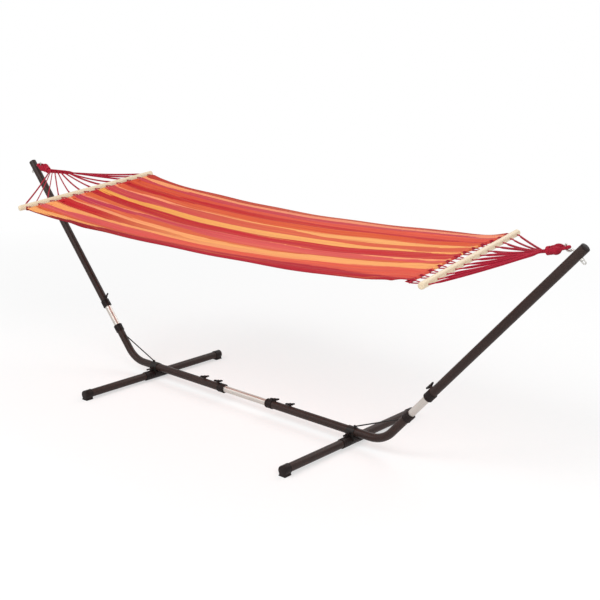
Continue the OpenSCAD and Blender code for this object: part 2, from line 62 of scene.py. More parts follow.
class Value:
    """A number in a shader tree. Arithmetic on it adds Math nodes."""

    def __init__(self, tree: "Tree", socket: bpy.types.NodeSocket) -> None:
        """Wraps an output socket of a tree."""
        self.tree = tree
        self.socket = socket

    def _math(self, operation: str, *others: "Value | float", swap: bool = False) -> "Value":
        """Adds one Math node.

        Args:
            operation: The Math node's operation.
            others: The other operands.
            swap: True puts this value last.

        Returns:
            The node's result.
        """
        values = [self, *others]
        if swap:
            values.reverse()
        node = self.tree.node("ShaderNodeMath", {"operation": operation}, dict(enumerate(values)))
        return Value(self.tree, node.outputs[0])

    def __add__(self, other: "Value | float") -> "Value":
        """Returns self + other."""
        return self._math("ADD", other)

    def __sub__(self, other: "Value | float") -> "Value":
        """Returns self - other."""
        return self._math("SUBTRACT", other)

    def __rsub__(self, other: float) -> "Value":
        """Returns other - self."""
        return self._math("SUBTRACT", other, swap=True)

    def __mul__(self, other: "Value | float") -> "Value":
        """Returns self * other."""
        return self._math("MULTIPLY", other)

    def __truediv__(self, other: "Value | float") -> "Value":
        """Returns self / other."""
        return self._math("DIVIDE", other)

    def __pow__(self, other: float) -> "Value":
        """Returns self to the power of other."""
        return self._math("POWER", other)

    __radd__ = __add__
    __rmul__ = __mul__

    def sin(self) -> "Value":
        """Returns the sine of the value, in radians."""
        return self._math("SINE")

    def fract(self) -> "Value":
        """Returns the fractional part."""
        return self._math("FRACT")

    def abs(self) -> "Value":
        """Returns the absolute value."""
        return self._math("ABSOLUTE")

    def clamp(self) -> "Value":
        """Returns the value held between 0 and 1."""
        return self._math("MAXIMUM", 0.0)._math("MINIMUM", 1.0)

    def between(self, low: float, high: float) -> "Value":
        """Returns the value mapped so that low gives 0 and high gives 1, held between them."""
        return ((self - low) / (high - low)).clamp()


class Tree:
    """A node tree that values and sockets are added to."""

    def __init__(self, tree: bpy.types.NodeTree) -> None:
        """Empties the tree of a material or of the world."""
        self.tree = tree
        self.tree.nodes.clear()

    def feed(self, node: bpy.types.Node, inputs: dict) -> None:
        """Sets a node's inputs.

        Args:
            node: The node.
            inputs: Values, wrapped values or sockets for its inputs, by name or number.
        """
        for key, given in inputs.items():
            if isinstance(given, Value):
                given = given.socket
            if isinstance(given, bpy.types.NodeSocket):
                self.tree.links.new(given, node.inputs[key])
            else:
                node.inputs[key].default_value = given

    def node(self, kind: str, settings: dict | None = None, inputs: dict | None = None) -> bpy.types.Node:
        """Adds a node.

        Args:
            kind: The node's type.
            settings: Its own settings, set first. A ramp's "stops" are (place, colour) pairs.
            inputs: Values, wrapped values or sockets for its inputs, by name or number.

        Returns:
            The new node.
        """
        node = self.tree.nodes.new(kind)
        for key, setting in (settings or {}).items():
            if key == "stops":
                self._ramp(node, setting)
            elif key == "interpolation":
                node.color_ramp.interpolation = setting
            else:
                setattr(node, key, setting)
        self.feed(node, inputs or {})
        return node

    @staticmethod
    def _ramp(node: bpy.types.Node, stops: list[tuple[float, Colour]]) -> None:
        """Gives a ColorRamp node its stops.

        Args:
            node: The ramp.
            stops: Place from 0 to 1 and colour of each stop, in order.
        """
        ramp = node.color_ramp
        while len(ramp.elements) < len(stops):
            ramp.elements.new(1.0)
        for element, (place, colour) in zip(ramp.elements, stops):
            element.position = place
            element.color = (*colour, 1.0)

    def value(self, node: bpy.types.Node, output: str | int = 0) -> Value:
        """Returns a node's output as a value to calculate with."""
        return Value(self, node.outputs[output])

    def seen(self) -> Value:
        """Tells what the camera sees from what lights the object.

        Returns:
            1 for rays from the camera, and for what it sees by reflection or through glass.
        """
        path = self.node("ShaderNodeLightPath")
        rays = [self.value(path, f"Is {kind} Ray") for kind in ("Camera", "Glossy", "Transmission")]
        return (rays[0] + rays[1] + rays[2]).clamp()


class Shader(Tree):
    """One material's node tree, with a Principled shader at its end."""

    def __init__(self, name: str) -> None:
        """Starts an empty material.

        Args:
            name: The material's name.
        """
        self.material = bpy.data.materials.new(name)
        self.material.use_nodes = True
        super().__init__(self.material.node_tree)
        self.surface = self.node("ShaderNodeBsdfPrincipled")
        self.output = self.node("ShaderNodeOutputMaterial", inputs={"Surface": self.surface.outputs[0]})

    def place(self, turn: Matrix | None = None, scale: Triple = (1.0, 1.0, 1.0)) -> bpy.types.NodeSocket:
        """Gives the Object coordinates, turned into a piece's own axes.

        Args:
            turn: Rotation whose columns are the piece's own axes.
            scale: Factors along those axes, put on afterwards.

        Returns:
            The vector socket.
        """
        point = self.node("ShaderNodeTexCoord").outputs["Object"]
        if turn is not None:
            angles = turn.transposed().to_euler()
            point = self.node("ShaderNodeMapping", {"vector_type": "POINT"},
                              {"Vector": point, "Rotation": tuple(angles)}).outputs[0]
        return self.node("ShaderNodeMapping", {"vector_type": "POINT"},
                         {"Vector": point, "Scale": scale}).outputs[0]

    def noise(self, vector: bpy.types.NodeSocket, scale: float, detail: float = 3.0,
              roughness: float = 0.5) -> Value:
        """Adds a noise texture of some frequency per metre and returns its factor, about 0.5."""
        return self.value(self.node("ShaderNodeTexNoise", inputs={
            "Vector": vector, "Scale": scale, "Detail": detail, "Roughness": roughness}))

    def tint(self, factor: Value, low: Colour | bpy.types.NodeSocket,
             high: Colour | bpy.types.NodeSocket) -> bpy.types.NodeSocket:
        """Mixes two colours.

        Args:
            factor: 0 gives low and 1 gives high.
            low: The first colour.
            high: The second colour.

        Returns:
            The mixed colour's socket.
        """
        colours = [(*c, 1.0) if isinstance(c, tuple) else c for c in (low, high)]
        node = self.node("ShaderNodeMix", {"data_type": "RGBA"},
                         {0: factor, 6: colours[0], 7: colours[1]})
        return node.outputs[2]

    def finish(self, colour: bpy.types.NodeSocket | Colour, roughness: Value | float,
               height: Value | None = None, relief: float = 0.0005, **constants: float) -> bpy.types.Material:
        """Connects the surface.

        Args:
            colour: The base colour.
            roughness: The roughness.
            height: Relief from 0 to 1.
            relief: What a height of 1 stands for, in metres.
            constants: Other sockets of the Principled shader, with _ for spaces.

        Returns:
            The finished material.
        """
        inputs = {"Base Color": (*colour, 1.0) if isinstance(colour, tuple) else colour,
                  "Roughness": roughness}
        if height is not None:
            bump = self.node("ShaderNodeBump", inputs={
                "Height": height, "Distance": relief, "Strength": 1.0})
            inputs["Normal"] = bump.outputs[0]
        inputs.update({name.replace("_", " "): number for name, number in constants.items()})
        self.feed(self.surface, inputs)
        return self.material


# ---------------------------------------------------------------- finishes

def axes_along(direction: Vector) -> Matrix:
    """Gives axes whose Y runs along a direction and whose X lies level.

    Args:
        direction: The way that Y points.

    Returns:
        A rotation with the axes as its columns.
    """
    y = direction.normalized()
    side = Vector((0, 0, 1)) if abs(y.z) < 0.9 else Vector((1, 0, 0))
    x = y.cross(side).normalized()
    z = x.cross(y)
    return Matrix((x, y, z)).transposed()


@dataclass(frozen=True)
class HammeredPaint:
    """Powder coat with the small dimples of hammered paint.

    Attributes:
        colour: Colour in the hollows.
        raised: Colour on the dimples' rims.
        dimple: Width of a dimple.
    """

    colour: Colour = (0.019, 0.0100, 0.0082)
    raised: Colour = (0.047, 0.028, 0.0235)
    dimple: float = 0.0032

    def material(self) -> bpy.types.Material:
        """Builds the material.

        Returns:
            The material.
        """
        s = Shader("hammered_paint")
        point = s.place()
        cells = s.value(s.node("ShaderNodeTexVoronoi", {"feature": "SMOOTH_F1"}, {
            "Vector": point, "Scale": 1 / self.dimple, "Smoothness": 0.6}), "Distance")
        cloud = s.noise(point, 9.0, 4.0)
        fleck = s.noise(point, 900.0, 2.0)
        rim = cells.between(0.25, 0.75)
        colour = s.tint((rim * 0.75 + (cloud - 0.5) * 0.5).clamp(), self.colour, self.raised)
        rough = 0.34 + cloud * 0.14 + rim * 0.08
        height = cells * -1.0 + 1.0 + fleck * 0.15
        return s.finish(colour, rough, height, 0.00035, Specular_IOR_Level=0.2)


@dataclass(frozen=True)
class BareSteel:
    """Drawn, zinc-coated steel tube with fine lines along its length.

    Attributes:
        name: The material's name.
        along: The tube's direction.
        dull: Its colour in the duller patches.
        bright: Its bright colour.
    """

    name: str
    along: Triple
    dull: Colour = (0.46, 0.42, 0.385)
    bright: Colour = (0.68, 0.64, 0.60)

    def material(self) -> bpy.types.Material:
        """Builds the material.

        Returns:
            The material.
        """
        s = Shader(self.name)
        turn = axes_along(Vector(self.along))
        lines = s.noise(s.place(turn, (900.0, 4.0, 900.0)), 1.0, 2.0)
        smear = s.noise(s.place(turn, (30.0, 6.0, 30.0)), 1.0, 4.0)
        colour = s.tint(smear, self.dull, self.bright)
        rough = 0.30 + lines * 0.16 + (smear - 0.5) * 0.12
        return s.finish(colour, rough, lines, 0.00006, Metallic=0.9)


@dataclass(frozen=True)
class MouldedPlastic:
    """Near-black plastic with a fine moulded grain and rubbed high spots.

    Attributes:
        colour: Its base colour.
        worn: Its colour where it is rubbed.
    """

    colour: Colour = (0.0085, 0.0046, 0.0042)
    worn: Colour = (0.022, 0.014, 0.013)

    def material(self) -> bpy.types.Material:
        """Builds the material.

        Returns:
            The material.
        """
        s = Shader("moulded_plastic")
        point = s.place()
        grain = s.value(s.node("ShaderNodeTexVoronoi", {"feature": "F1"}, {
            "Vector": point, "Scale": 1100.0}), "Distance")
        dust = s.noise(point, 26.0, 5.0, 0.6)
        rub = s.noise(point, 140.0, 3.0)
        colour = s.tint((dust.between(0.42, 0.72) * 0.6 + rub * 0.25).clamp(), self.colour, self.worn)
        rough = 0.38 + grain * 0.14 + (dust - 0.5) * 0.3
        return s.finish(colour, rough, grain + dust * 0.4, 0.00012, Specular_IOR_Level=0.16)


@dataclass(frozen=True)
class ZincPlate:
    """Bright zinc plating with a faint spangle.

    Attributes:
        colour: Its bright colour.
        dull: Its colour in the duller patches.
    """

    colour: Colour = (0.62, 0.61, 0.58)
    dull: Colour = (0.40, 0.39, 0.37)

    def material(self) -> bpy.types.Material:
        """Builds the material.

        Returns:
            The material.
        """
        s = Shader("zinc_plate")
        point = s.place()
        spangle = s.value(s.node("ShaderNodeTexVoronoi", {"feature": "F1"}, {
            "Vector": point, "Scale": 260.0}), "Color")
        cloud = s.noise(point, 60.0, 4.0)
        colour = s.tint((cloud * 0.7 + spangle * 0.3).clamp(), self.dull, self.colour)
        return s.finish(colour, 0.26 + cloud * 0.2, cloud, 0.00008, Metallic=0.92)


@dataclass(frozen=True)
class BeechWood:
    """Pale beech turned to a rod: grain along it, flecks, and rings on its end faces.

    Attributes:
        name: The material's name.
        centre: A point on the rod's axis.
        along: The axis's direction.
        pale: The wood's colour.
        dark: Its colour in the grain.
        fleck: Colour of its flecks.
        pith: Distance from the rod's axis to the middle of its rings.
        rings: Rings per metre.
    """

    name: str
    centre: Triple
    along: Triple
    pale: Colour = (0.76, 0.635, 0.45)
    dark: Colour = (0.60, 0.455, 0.29)
    fleck: Colour = (0.44, 0.31, 0.19)
    pith: float = 0.022
    rings: float = 420.0

    def material(self) -> bpy.types.Material:
        """Builds the material.

        Returns:
            The material.
        """
        s = Shader(self.name)
        turn = axes_along(Vector(self.along))
        shifted = s.node("ShaderNodeVectorMath", {"operation": "SUBTRACT"}, {
            0: s.node("ShaderNodeTexCoord").outputs["Object"], 1: self.centre}).outputs[0]
        own = s.node("ShaderNodeMapping", inputs={
            "Vector": shifted, "Rotation": tuple(turn.transposed().to_euler())}).outputs[0]
        bent = s.value(s.node("ShaderNodeTexNoise", inputs={"Vector": own, "Scale": 3.0, "Detail": 2.0}))
        split = s.node("ShaderNodeSeparateXYZ", inputs={0: own})
        x, y, z = (s.value(split, i) for i in range(3))
        off = x + self.pith + (bent - 0.5) * 0.012
        ring = ((off * off + z * z) ** 0.5 * self.rings + y * 2.0).fract()
        late = (1.0 - (ring - 0.5).abs() * 2.0) ** 3.0
        streak_at = s.node("ShaderNodeMapping", inputs={"Vector": own, "Scale": (700.0, 9.0, 700.0)})
        streak = s.noise(streak_at.outputs[0], 1.0, 3.0)
        fleck_at = s.node("ShaderNodeMapping", inputs={"Vector": own, "Scale": (420.0, 55.0, 420.0)})
        fleck = s.noise(fleck_at.outputs[0], 1.0, 1.0).between(0.62, 0.72)
        mask = (late * 0.35 + streak * 0.45 + (bent - 0.5) * 0.5).clamp()
        colour = s.tint(fleck * 0.45, s.tint(mask, self.pale, self.dark), self.fleck)
        return s.finish(colour, 0.42 + streak * 0.16, streak + late * 0.3, 0.00012,
                        Coat_Weight=0.15, Coat_Roughness=0.3)


@dataclass(frozen=True)
class BraidedCord:
    """Braided cotton cord: the map's U runs round it and V along it in metres.

    Attributes:
        name: The material's name.
        colour: The yarn's colour.
        deep: The darker colour: painted shade in the gaps between the yarns, and random darker patches.
        stitch: Length of a braid stitch.
    """

    name: str = "braided_cord"
    colour: Colour = (0.56, 0.013, 0.046)
    deep: Colour = (0.29, 0.006, 0.022)
    stitch: float = 0.0042

    def material(self) -> bpy.types.Material:
        """Builds the material.

        Returns:
            The material.
        """
        s = Shader(self.name)
        split = s.node("ShaderNodeSeparateXYZ", inputs={
            0: s.node("ShaderNodeUVMap", {"uv_map": "UVMap"}).outputs[0]})
        around, along = s.value(split, 0) * (4 * math.pi), s.value(split, 1) * (2 * math.pi / self.stitch)
        plait = ((around + along).sin() * (around - along).sin()).abs() ** 0.5
        fuzz = s.noise(s.place(), 2400.0, 2.0)
        fade = s.noise(s.place(), 7.0, 3.0)
        # Painted shade: the plait pattern darkens the gaps between the yarns towards the deep colour; the
        # fuzz and fade noise add uneven yarn tone.
        mask = (plait * 0.8 + (fuzz - 0.5) * 0.5 + (fade - 0.5) * 0.5).clamp()
        return s.finish(s.tint(mask, self.deep, self.colour), 0.82, plait + fuzz * 0.3, 0.0006,
                        Sheen_Weight=0.06, Specular_IOR_Level=0.2)


# ---------------------------------------------------------------- reading the frame

class Nodes:
    """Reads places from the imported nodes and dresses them."""

    @staticmethod
    def points(name: str) -> np.ndarray:
        """Reads a node's vertices.

        Args:
            name: The node.

        Returns:
            One row for each vertex.
        """
        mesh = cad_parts[name].data
        flat = np.empty(len(mesh.vertices) * 3)
        mesh.vertices.foreach_get("co", flat)
        return flat.reshape(-1, 3)

    @staticmethod
    def dress(name: str, material: bpy.types.Material) -> None:
        """Gives a node's every slot one material.

        Args:
            name: The node.
            material: The material.
        """
        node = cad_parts[name]
        for slot in node.material_slots:
            slot.material = material


# ---------------------------------------------------------------- shared geometry

class Side(Enum):
    """The two ends of the stand."""

    LEFT = -1
    RIGHT = 1

    @property
    def label(self) -> str:
        """Returns the word that starts the names of this end's nodes."""
        return self.name.lower()


def hexed(code: str) -> Colour:
    """Returns the linear colour of a display colour's six hexadecimal digits."""
    channels = [int(code[i:i + 2], 16) / 255 for i in (0, 2, 4)]
    return tuple(c / 12.92 if c <= 0.04045 else ((c + 0.055) / 1.055) ** 2.4 for c in channels)


def curve_through(points: list[np.ndarray], steps: int = 8) -> np.ndarray:
    """Draws a smooth curve through points.

    Args:
        points: The points in order.
        steps: Pieces between neighbouring points.

    Returns:
        The curve's points.
    """
    p = np.array(points, float)
    p = np.vstack([2 * p[0] - p[1], p, 2 * p[-1] - p[-2]])
    t = np.linspace(0, 1, steps, endpoint=False)[:, None]
    made = []
    for a, b, c, d in zip(p[:-3], p[1:-2], p[2:-1], p[3:]):
        made.append(b + 0.5 * t * (c - a + t * (2 * a - 5 * b + 4 * c - d + t * (3 * (b - c) + d - a))))
    made.append(p[-2][None, :])
    return np.vstack(made)


def run_along(path: np.ndarray) -> np.ndarray:
    """Returns how far along a path each of its points lies."""
    return np.concatenate([[0], np.cumsum(np.linalg.norm(np.diff(path, axis=0), axis=1))])


def frames_along(path: np.ndarray) -> tuple[np.ndarray, np.ndarray]:
    """Gives two directions across a path at each of its points, without twist.

    Args:
        path: The path's points.

    Returns:
        The first and the second direction at each point.
    """
    tangent = np.gradient(path, axis=0)
    tangent /= np.linalg.norm(tangent, axis=1)[:, None]
    start = np.array((0.0, 0.0, 1.0)) if abs(tangent[0][2]) < 0.9 else np.array((1.0, 0.0, 0.0))
    first = [start]
    for t in tangent:
        across = first[-1] - t * np.dot(first[-1], t)
        first.append(across / np.linalg.norm(across))
    first = np.array(first[1:])
    return first, np.cross(tangent, first)


class CordMesh:
    """Collects round cords in one mesh; its map's U runs round a cord and V along it in metres."""

    def __init__(self, sides: int = 8) -> None:
        """Starts an empty mesh.

        Args:
            sides: Faces round each cord.
        """
        self.sides = sides
        self.points: list[np.ndarray] = []
        self.faces: list[list[int]] = []
        self.uvs: list[tuple[float, float]] = []
        self.count = 0

    def add(self, path: np.ndarray, radius: float | np.ndarray) -> None:
        """Adds a cord.

        Args:
            path: Its centre line.
            radius: Its radius, or one for each point.
        """
        first, second = frames_along(path)
        radius = np.broadcast_to(np.asarray(radius, float), len(path))[:, None, None]
        angle = np.linspace(0, 2 * math.pi, self.sides, endpoint=False)
        around = (np.cos(angle)[None, :, None] * first[:, None, :]
                  + np.sin(angle)[None, :, None] * second[:, None, :])
        self.points.append((path[:, None, :] + radius * around).reshape(-1, 3))
        run = run_along(path)
        n, base = self.sides, self.count
        for k in range(len(path) - 1):
            for j in range(n):
                here, beside = base + k * n + j, base + k * n + (j + 1) % n
                self.faces.append([here, beside, beside + n, here + n])
                low, high = j / n, (j + 1) / n
                self.uvs += [(low, run[k]), (high, run[k]), (high, run[k + 1]), (low, run[k + 1])]
        self.faces.append([base + j for j in reversed(range(n))])
        self.uvs += [(j / n, run[0]) for j in reversed(range(n))]
        last = base + (len(path) - 1) * n
        self.faces.append([last + j for j in range(n)])
        self.uvs += [(j / n, run[-1]) for j in range(n)]
        self.count += len(path) * n

    def build(self, name: str) -> bpy.types.Object:
        """Makes the object, shaded smooth."""
        return new_mesh(name, np.vstack(self.points), self.faces, self.uvs)


def new_mesh(name: str, points: np.ndarray, faces: list[list[int]],
             uvs: list[tuple[float, float]]) -> bpy.types.Object:
    """Makes a smooth-shaded mesh object with a UV map.

    Args:
        name: Its name.
        points: Its vertices.
        faces: Its faces.
        uvs: One pair for each face corner.

    Returns:
        The new object.
    """
    mesh = bpy.data.meshes.new(name)
    mesh.from_pydata([tuple(p) for p in points.tolist()], [], faces)
    layer = mesh.uv_layers.new(name="UVMap")
    layer.data.foreach_set("uv", np.array(uvs, np.float32).ravel())
    mesh.polygons.foreach_set("use_smooth", [True] * len(mesh.polygons))
    mesh.update()
    piece = bpy.data.objects.new(name, mesh)
    bpy.context.scene.collection.objects.link(piece)
    return piece


def settle(piece: bpy.types.Object, material: bpy.types.Material, body: str | None,
           nodes: tuple[str, ...] = ()) -> bpy.types.Object:
    """Gives a piece its material, slot and body.

    Args:
        piece: The piece, in place.
        material: Its material.
        body: The body that it rides on, or None.
        nodes: The CAD nodes that it stands for.

    Returns:
        The piece.
    """
    piece.data.materials.clear()
    piece.data.materials.append(material)
    if body:
        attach(piece, body)
    if nodes:
        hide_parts(*nodes)
    log.info("made %s", piece.name)
    return piece


CORD_COUNT = 12  # cords at each end
CORD_PITCH = 0.068  # distance between their holes
HEM_ROPE_RADIUS = 0.0038
HALF_CLOTH = 0.388  # half the cloth's width at its ends


def cord_place(index: int) -> float:
    """Returns how far along the bar a cord's hole lies, from the bar's middle."""
    return (index - (CORD_COUNT - 1) / 2) * CORD_PITCH


def eased(t: np.ndarray | float) -> np.ndarray:
    """Returns a smooth step from 0 to 1 as t goes from 0 to 1."""
    t = np.clip(t, 0, 1)
    return t * t * (3 - 2 * t)


@dataclass(frozen=True)
class SpreaderBar:
    """Where a wooden spreader bar and the hem beside it lie.

    Attributes:
        side: Its end of the stand.
        centre: Its middle.
        yaw: Turn about the vertical, in degrees.
        tilt: Rise of its rear end, in degrees.
        gap: Distance from its axis to the hem rope, from the front end to the middle.
        rear_gap: The same at the rear end.
        drawn: How far the hem's rear end is drawn in, as a share of its half.
        slack: How far the hem rope hangs back between two cords, at most.
    """

    side: Side
    centre: Triple
    yaw: float
    tilt: float
    gap: float
    rear_gap: float
    drawn: float
    slack: float = 0.0056

    def turn(self, p: np.ndarray) -> np.ndarray:
        """Turns a direction from the bar's own axes to the frame's.

        Args:
            p: X square to the bar and level, Y along it.

        Returns:
            The direction in the frame.
        """
        t, a = math.radians(self.tilt), math.radians(self.yaw)
        x, y, z = p[..., 0], p[..., 1], p[..., 2]
        y, z = y * math.cos(t) - z * math.sin(t), y * math.sin(t) + z * math.cos(t)
        return np.stack([x * math.cos(a) - y * math.sin(a), x * math.sin(a) + y * math.cos(a), z], axis=-1)

    def at(self, out: float, along: float, up: float = 0.0) -> np.ndarray:
        """Returns the point out from the axis to the hook, along it to the rear, and up."""
        return np.array(self.centre) + self.turn(np.array((self.side.value * out, along, up)))

    def hem_place(self, along: np.ndarray | float) -> np.ndarray:
        """Returns where on the hem the cord from a place along the bar arrives."""
        along = np.asarray(along, float)
        return along * (1 - self.drawn * eased(along / HALF_CLOTH))

    def hem_gap(self, place: np.ndarray) -> np.ndarray:
        """Gives the hem rope's distance from the bar's axis.

        Args:
            place: Distances along the hem.

        Returns:
            The distances: small at each cord, larger between.
        """
        gap = self.gap + (self.rear_gap - self.gap) * eased((place / HALF_CLOTH - 0.05) / 0.85)
        cords = self.hem_place(np.array([cord_place(i) for i in range(CORD_COUNT)]))
        number = np.interp(place, cords, np.arange(CORD_COUNT))
        inside = (place > cords[0]) & (place < cords[-1])
        return gap + np.where(inside, self.slack * (1 - np.cos(2 * math.pi * number)) / 2, 0.0)

    def hem(self, place: np.ndarray) -> np.ndarray:
        """Returns points of the hem rope's centre at distances along the hem."""
        out = -self.side.value * self.hem_gap(place)
        return np.array(self.centre) + self.turn(np.stack([out, place, np.zeros_like(place)], axis=-1))

    def dress(self) -> None:
        """Gives the bar its wood."""
        label, along = self.side.label, self.turn(np.array((0.0, 1.0, 0.0)))
        wood = BeechWood(f"beech_{label}", self.centre, tuple(along))
        Nodes.dress(f"{label}_spreader", wood.material())
        log.info("dressed %s_spreader", label)


LEFT_BAR = SpreaderBar(Side.LEFT, (-1.161, 0.0, 0.9295), -6.0, 8.0, 0.054, 0.048, 0.030)
RIGHT_BAR = SpreaderBar(Side.RIGHT, (1.207, 0.0, 0.9295), 5.5, 5.0, 0.054, 0.0235, 0.062)


# ---------------------------------------------------------------- camera, floor and light

@dataclass
class Studio:
    """Camera, floor and lamps.

    Attributes:
        place: The camera's place.
        azimuth: How far the camera looks to the left of +Y, in degrees.
        elevation: How far it looks down, in degrees.
        roll: Its roll, in degrees.
        lens: Its focal length in millimetres on a 36 mm sensor.
        fade: Distances from the middle between which the floor turns white.
        whitened: Share of white that the camera sees in the near floor.
        ambient: Strength of the surroundings as a light.
        lamps: Name, place, side and power in watts of each lamp.
    """

    place: Triple = (3.181, -3.283, 1.7425)
    azimuth: float = 40.92
    elevation: float = 14.73
    roll: float = 0.83
    lens: float = 60.55
    fade: tuple[float, float] = (2.2, 5.0)
    whitened: float = 0.55
    ambient: float = 0.55
    lamps: tuple[tuple[str, Triple, float, float], ...] = (
        ("key", (-1.5, -4.5, 5.0), 3.5, 210.0),
        ("fill", (4.5, -2.0, 3.5), 3.0, 90.0),
        ("back", (0.5, 4.0, 4.5), 3.5, 80.0))

    def camera(self) -> None:
        """Creates the camera and makes it the scene's."""
        a, e, r = (math.radians(x) for x in (self.azimuth, self.elevation, self.roll))
        ahead = Vector((-math.sin(a) * math.cos(e), math.cos(a) * math.cos(e), -math.sin(e)))
        level = Vector((math.cos(a), math.sin(a), 0))
        upright = level.cross(ahead)
        right = level * math.cos(r) + upright * math.sin(r)
        up = upright * math.cos(r) - level * math.sin(r)
        data = bpy.data.cameras.new("camera")
        data.sensor_width = 36.0
        data.lens = self.lens
        data.clip_end = 60.0
        camera = bpy.data.objects.new("camera", data)
        matrix = Matrix((right, up, -ahead)).transposed().to_4x4()
        matrix.translation = Vector(self.place)
        camera.matrix_world = matrix
        bpy.context.scene.collection.objects.link(camera)
        bpy.context.scene.camera = camera

    def lamp(self, name: str, place: Triple, size: float, power: float) -> None:
        """Adds a square soft light that faces the hammock.

        Args:
            name: Its name.
            place: Where it stands.
            size: Its side.
            power: Its power in watts.
        """
        data = bpy.data.lights.new(name, "AREA")
        data.size = size
        data.energy = power
        lamp = bpy.data.objects.new(name, data)
        lamp.location = place
        aim = Vector((0, 0, 0.6)) - Vector(place)
        lamp.rotation_euler = aim.to_track_quat("-Z", "Y").to_euler()
        bpy.context.scene.collection.objects.link(lamp)

    def floor(self) -> None:
        """Makes the pale floor, which fades into the white surroundings."""
        bpy.ops.object.select_all(action="DESELECT")
        bpy.ops.mesh.primitive_circle_add(vertices=96, radius=14.0, fill_type="NGON")
        floor = bpy.context.object
        floor.name = "floor"
        s = Shader("pale_floor")
        point = s.place()
        distance = s.value(s.node("ShaderNodeVectorMath", {"operation": "LENGTH"}, {0: point}), "Value")
        grain = s.noise(point, 30.0, 4.0)
        s.finish(s.tint(grain, (0.93, 0.93, 0.93), (0.96, 0.96, 0.96)), 0.85, Specular_IOR_Level=0.1)
        seen = s.seen()
        white = s.node("ShaderNodeEmission", inputs={"Color": (1, 1, 1, 1), "Strength": seen * 0.25 + 0.75})
        far = distance.between(*self.fade)
        share = far + (1.0 - far) * seen * self.whitened
        mix = s.node("ShaderNodeMixShader", inputs={0: share, 1: s.surface.outputs[0], 2: white.outputs[0]})
        s.feed(s.output, {"Surface": mix.outputs[0]})
        floor.data.materials.append(s.material)

    def world(self) -> None:
        """Sets the white surroundings and their soft light."""
        world = bpy.data.worlds.new("studio")
        world.use_nodes = True
        tree = Tree(world.node_tree)
        strength = tree.seen() * (1.0 - self.ambient) + self.ambient
        background = tree.node("ShaderNodeBackground", inputs={"Color": (1, 1, 1, 1), "Strength": strength})
        tree.node("ShaderNodeOutputWorld", inputs={"Surface": background.outputs[0]})
        bpy.context.scene.world = world

    def build(self) -> None:
        """Makes everything but the camera."""
        bpy.context.scene.view_settings.view_transform = "Standard"
        self.world()
        self.floor()
        for name, place, size, power in self.lamps:
            self.lamp(name, place, size, power)


# ---------------------------------------------------------------- ropes

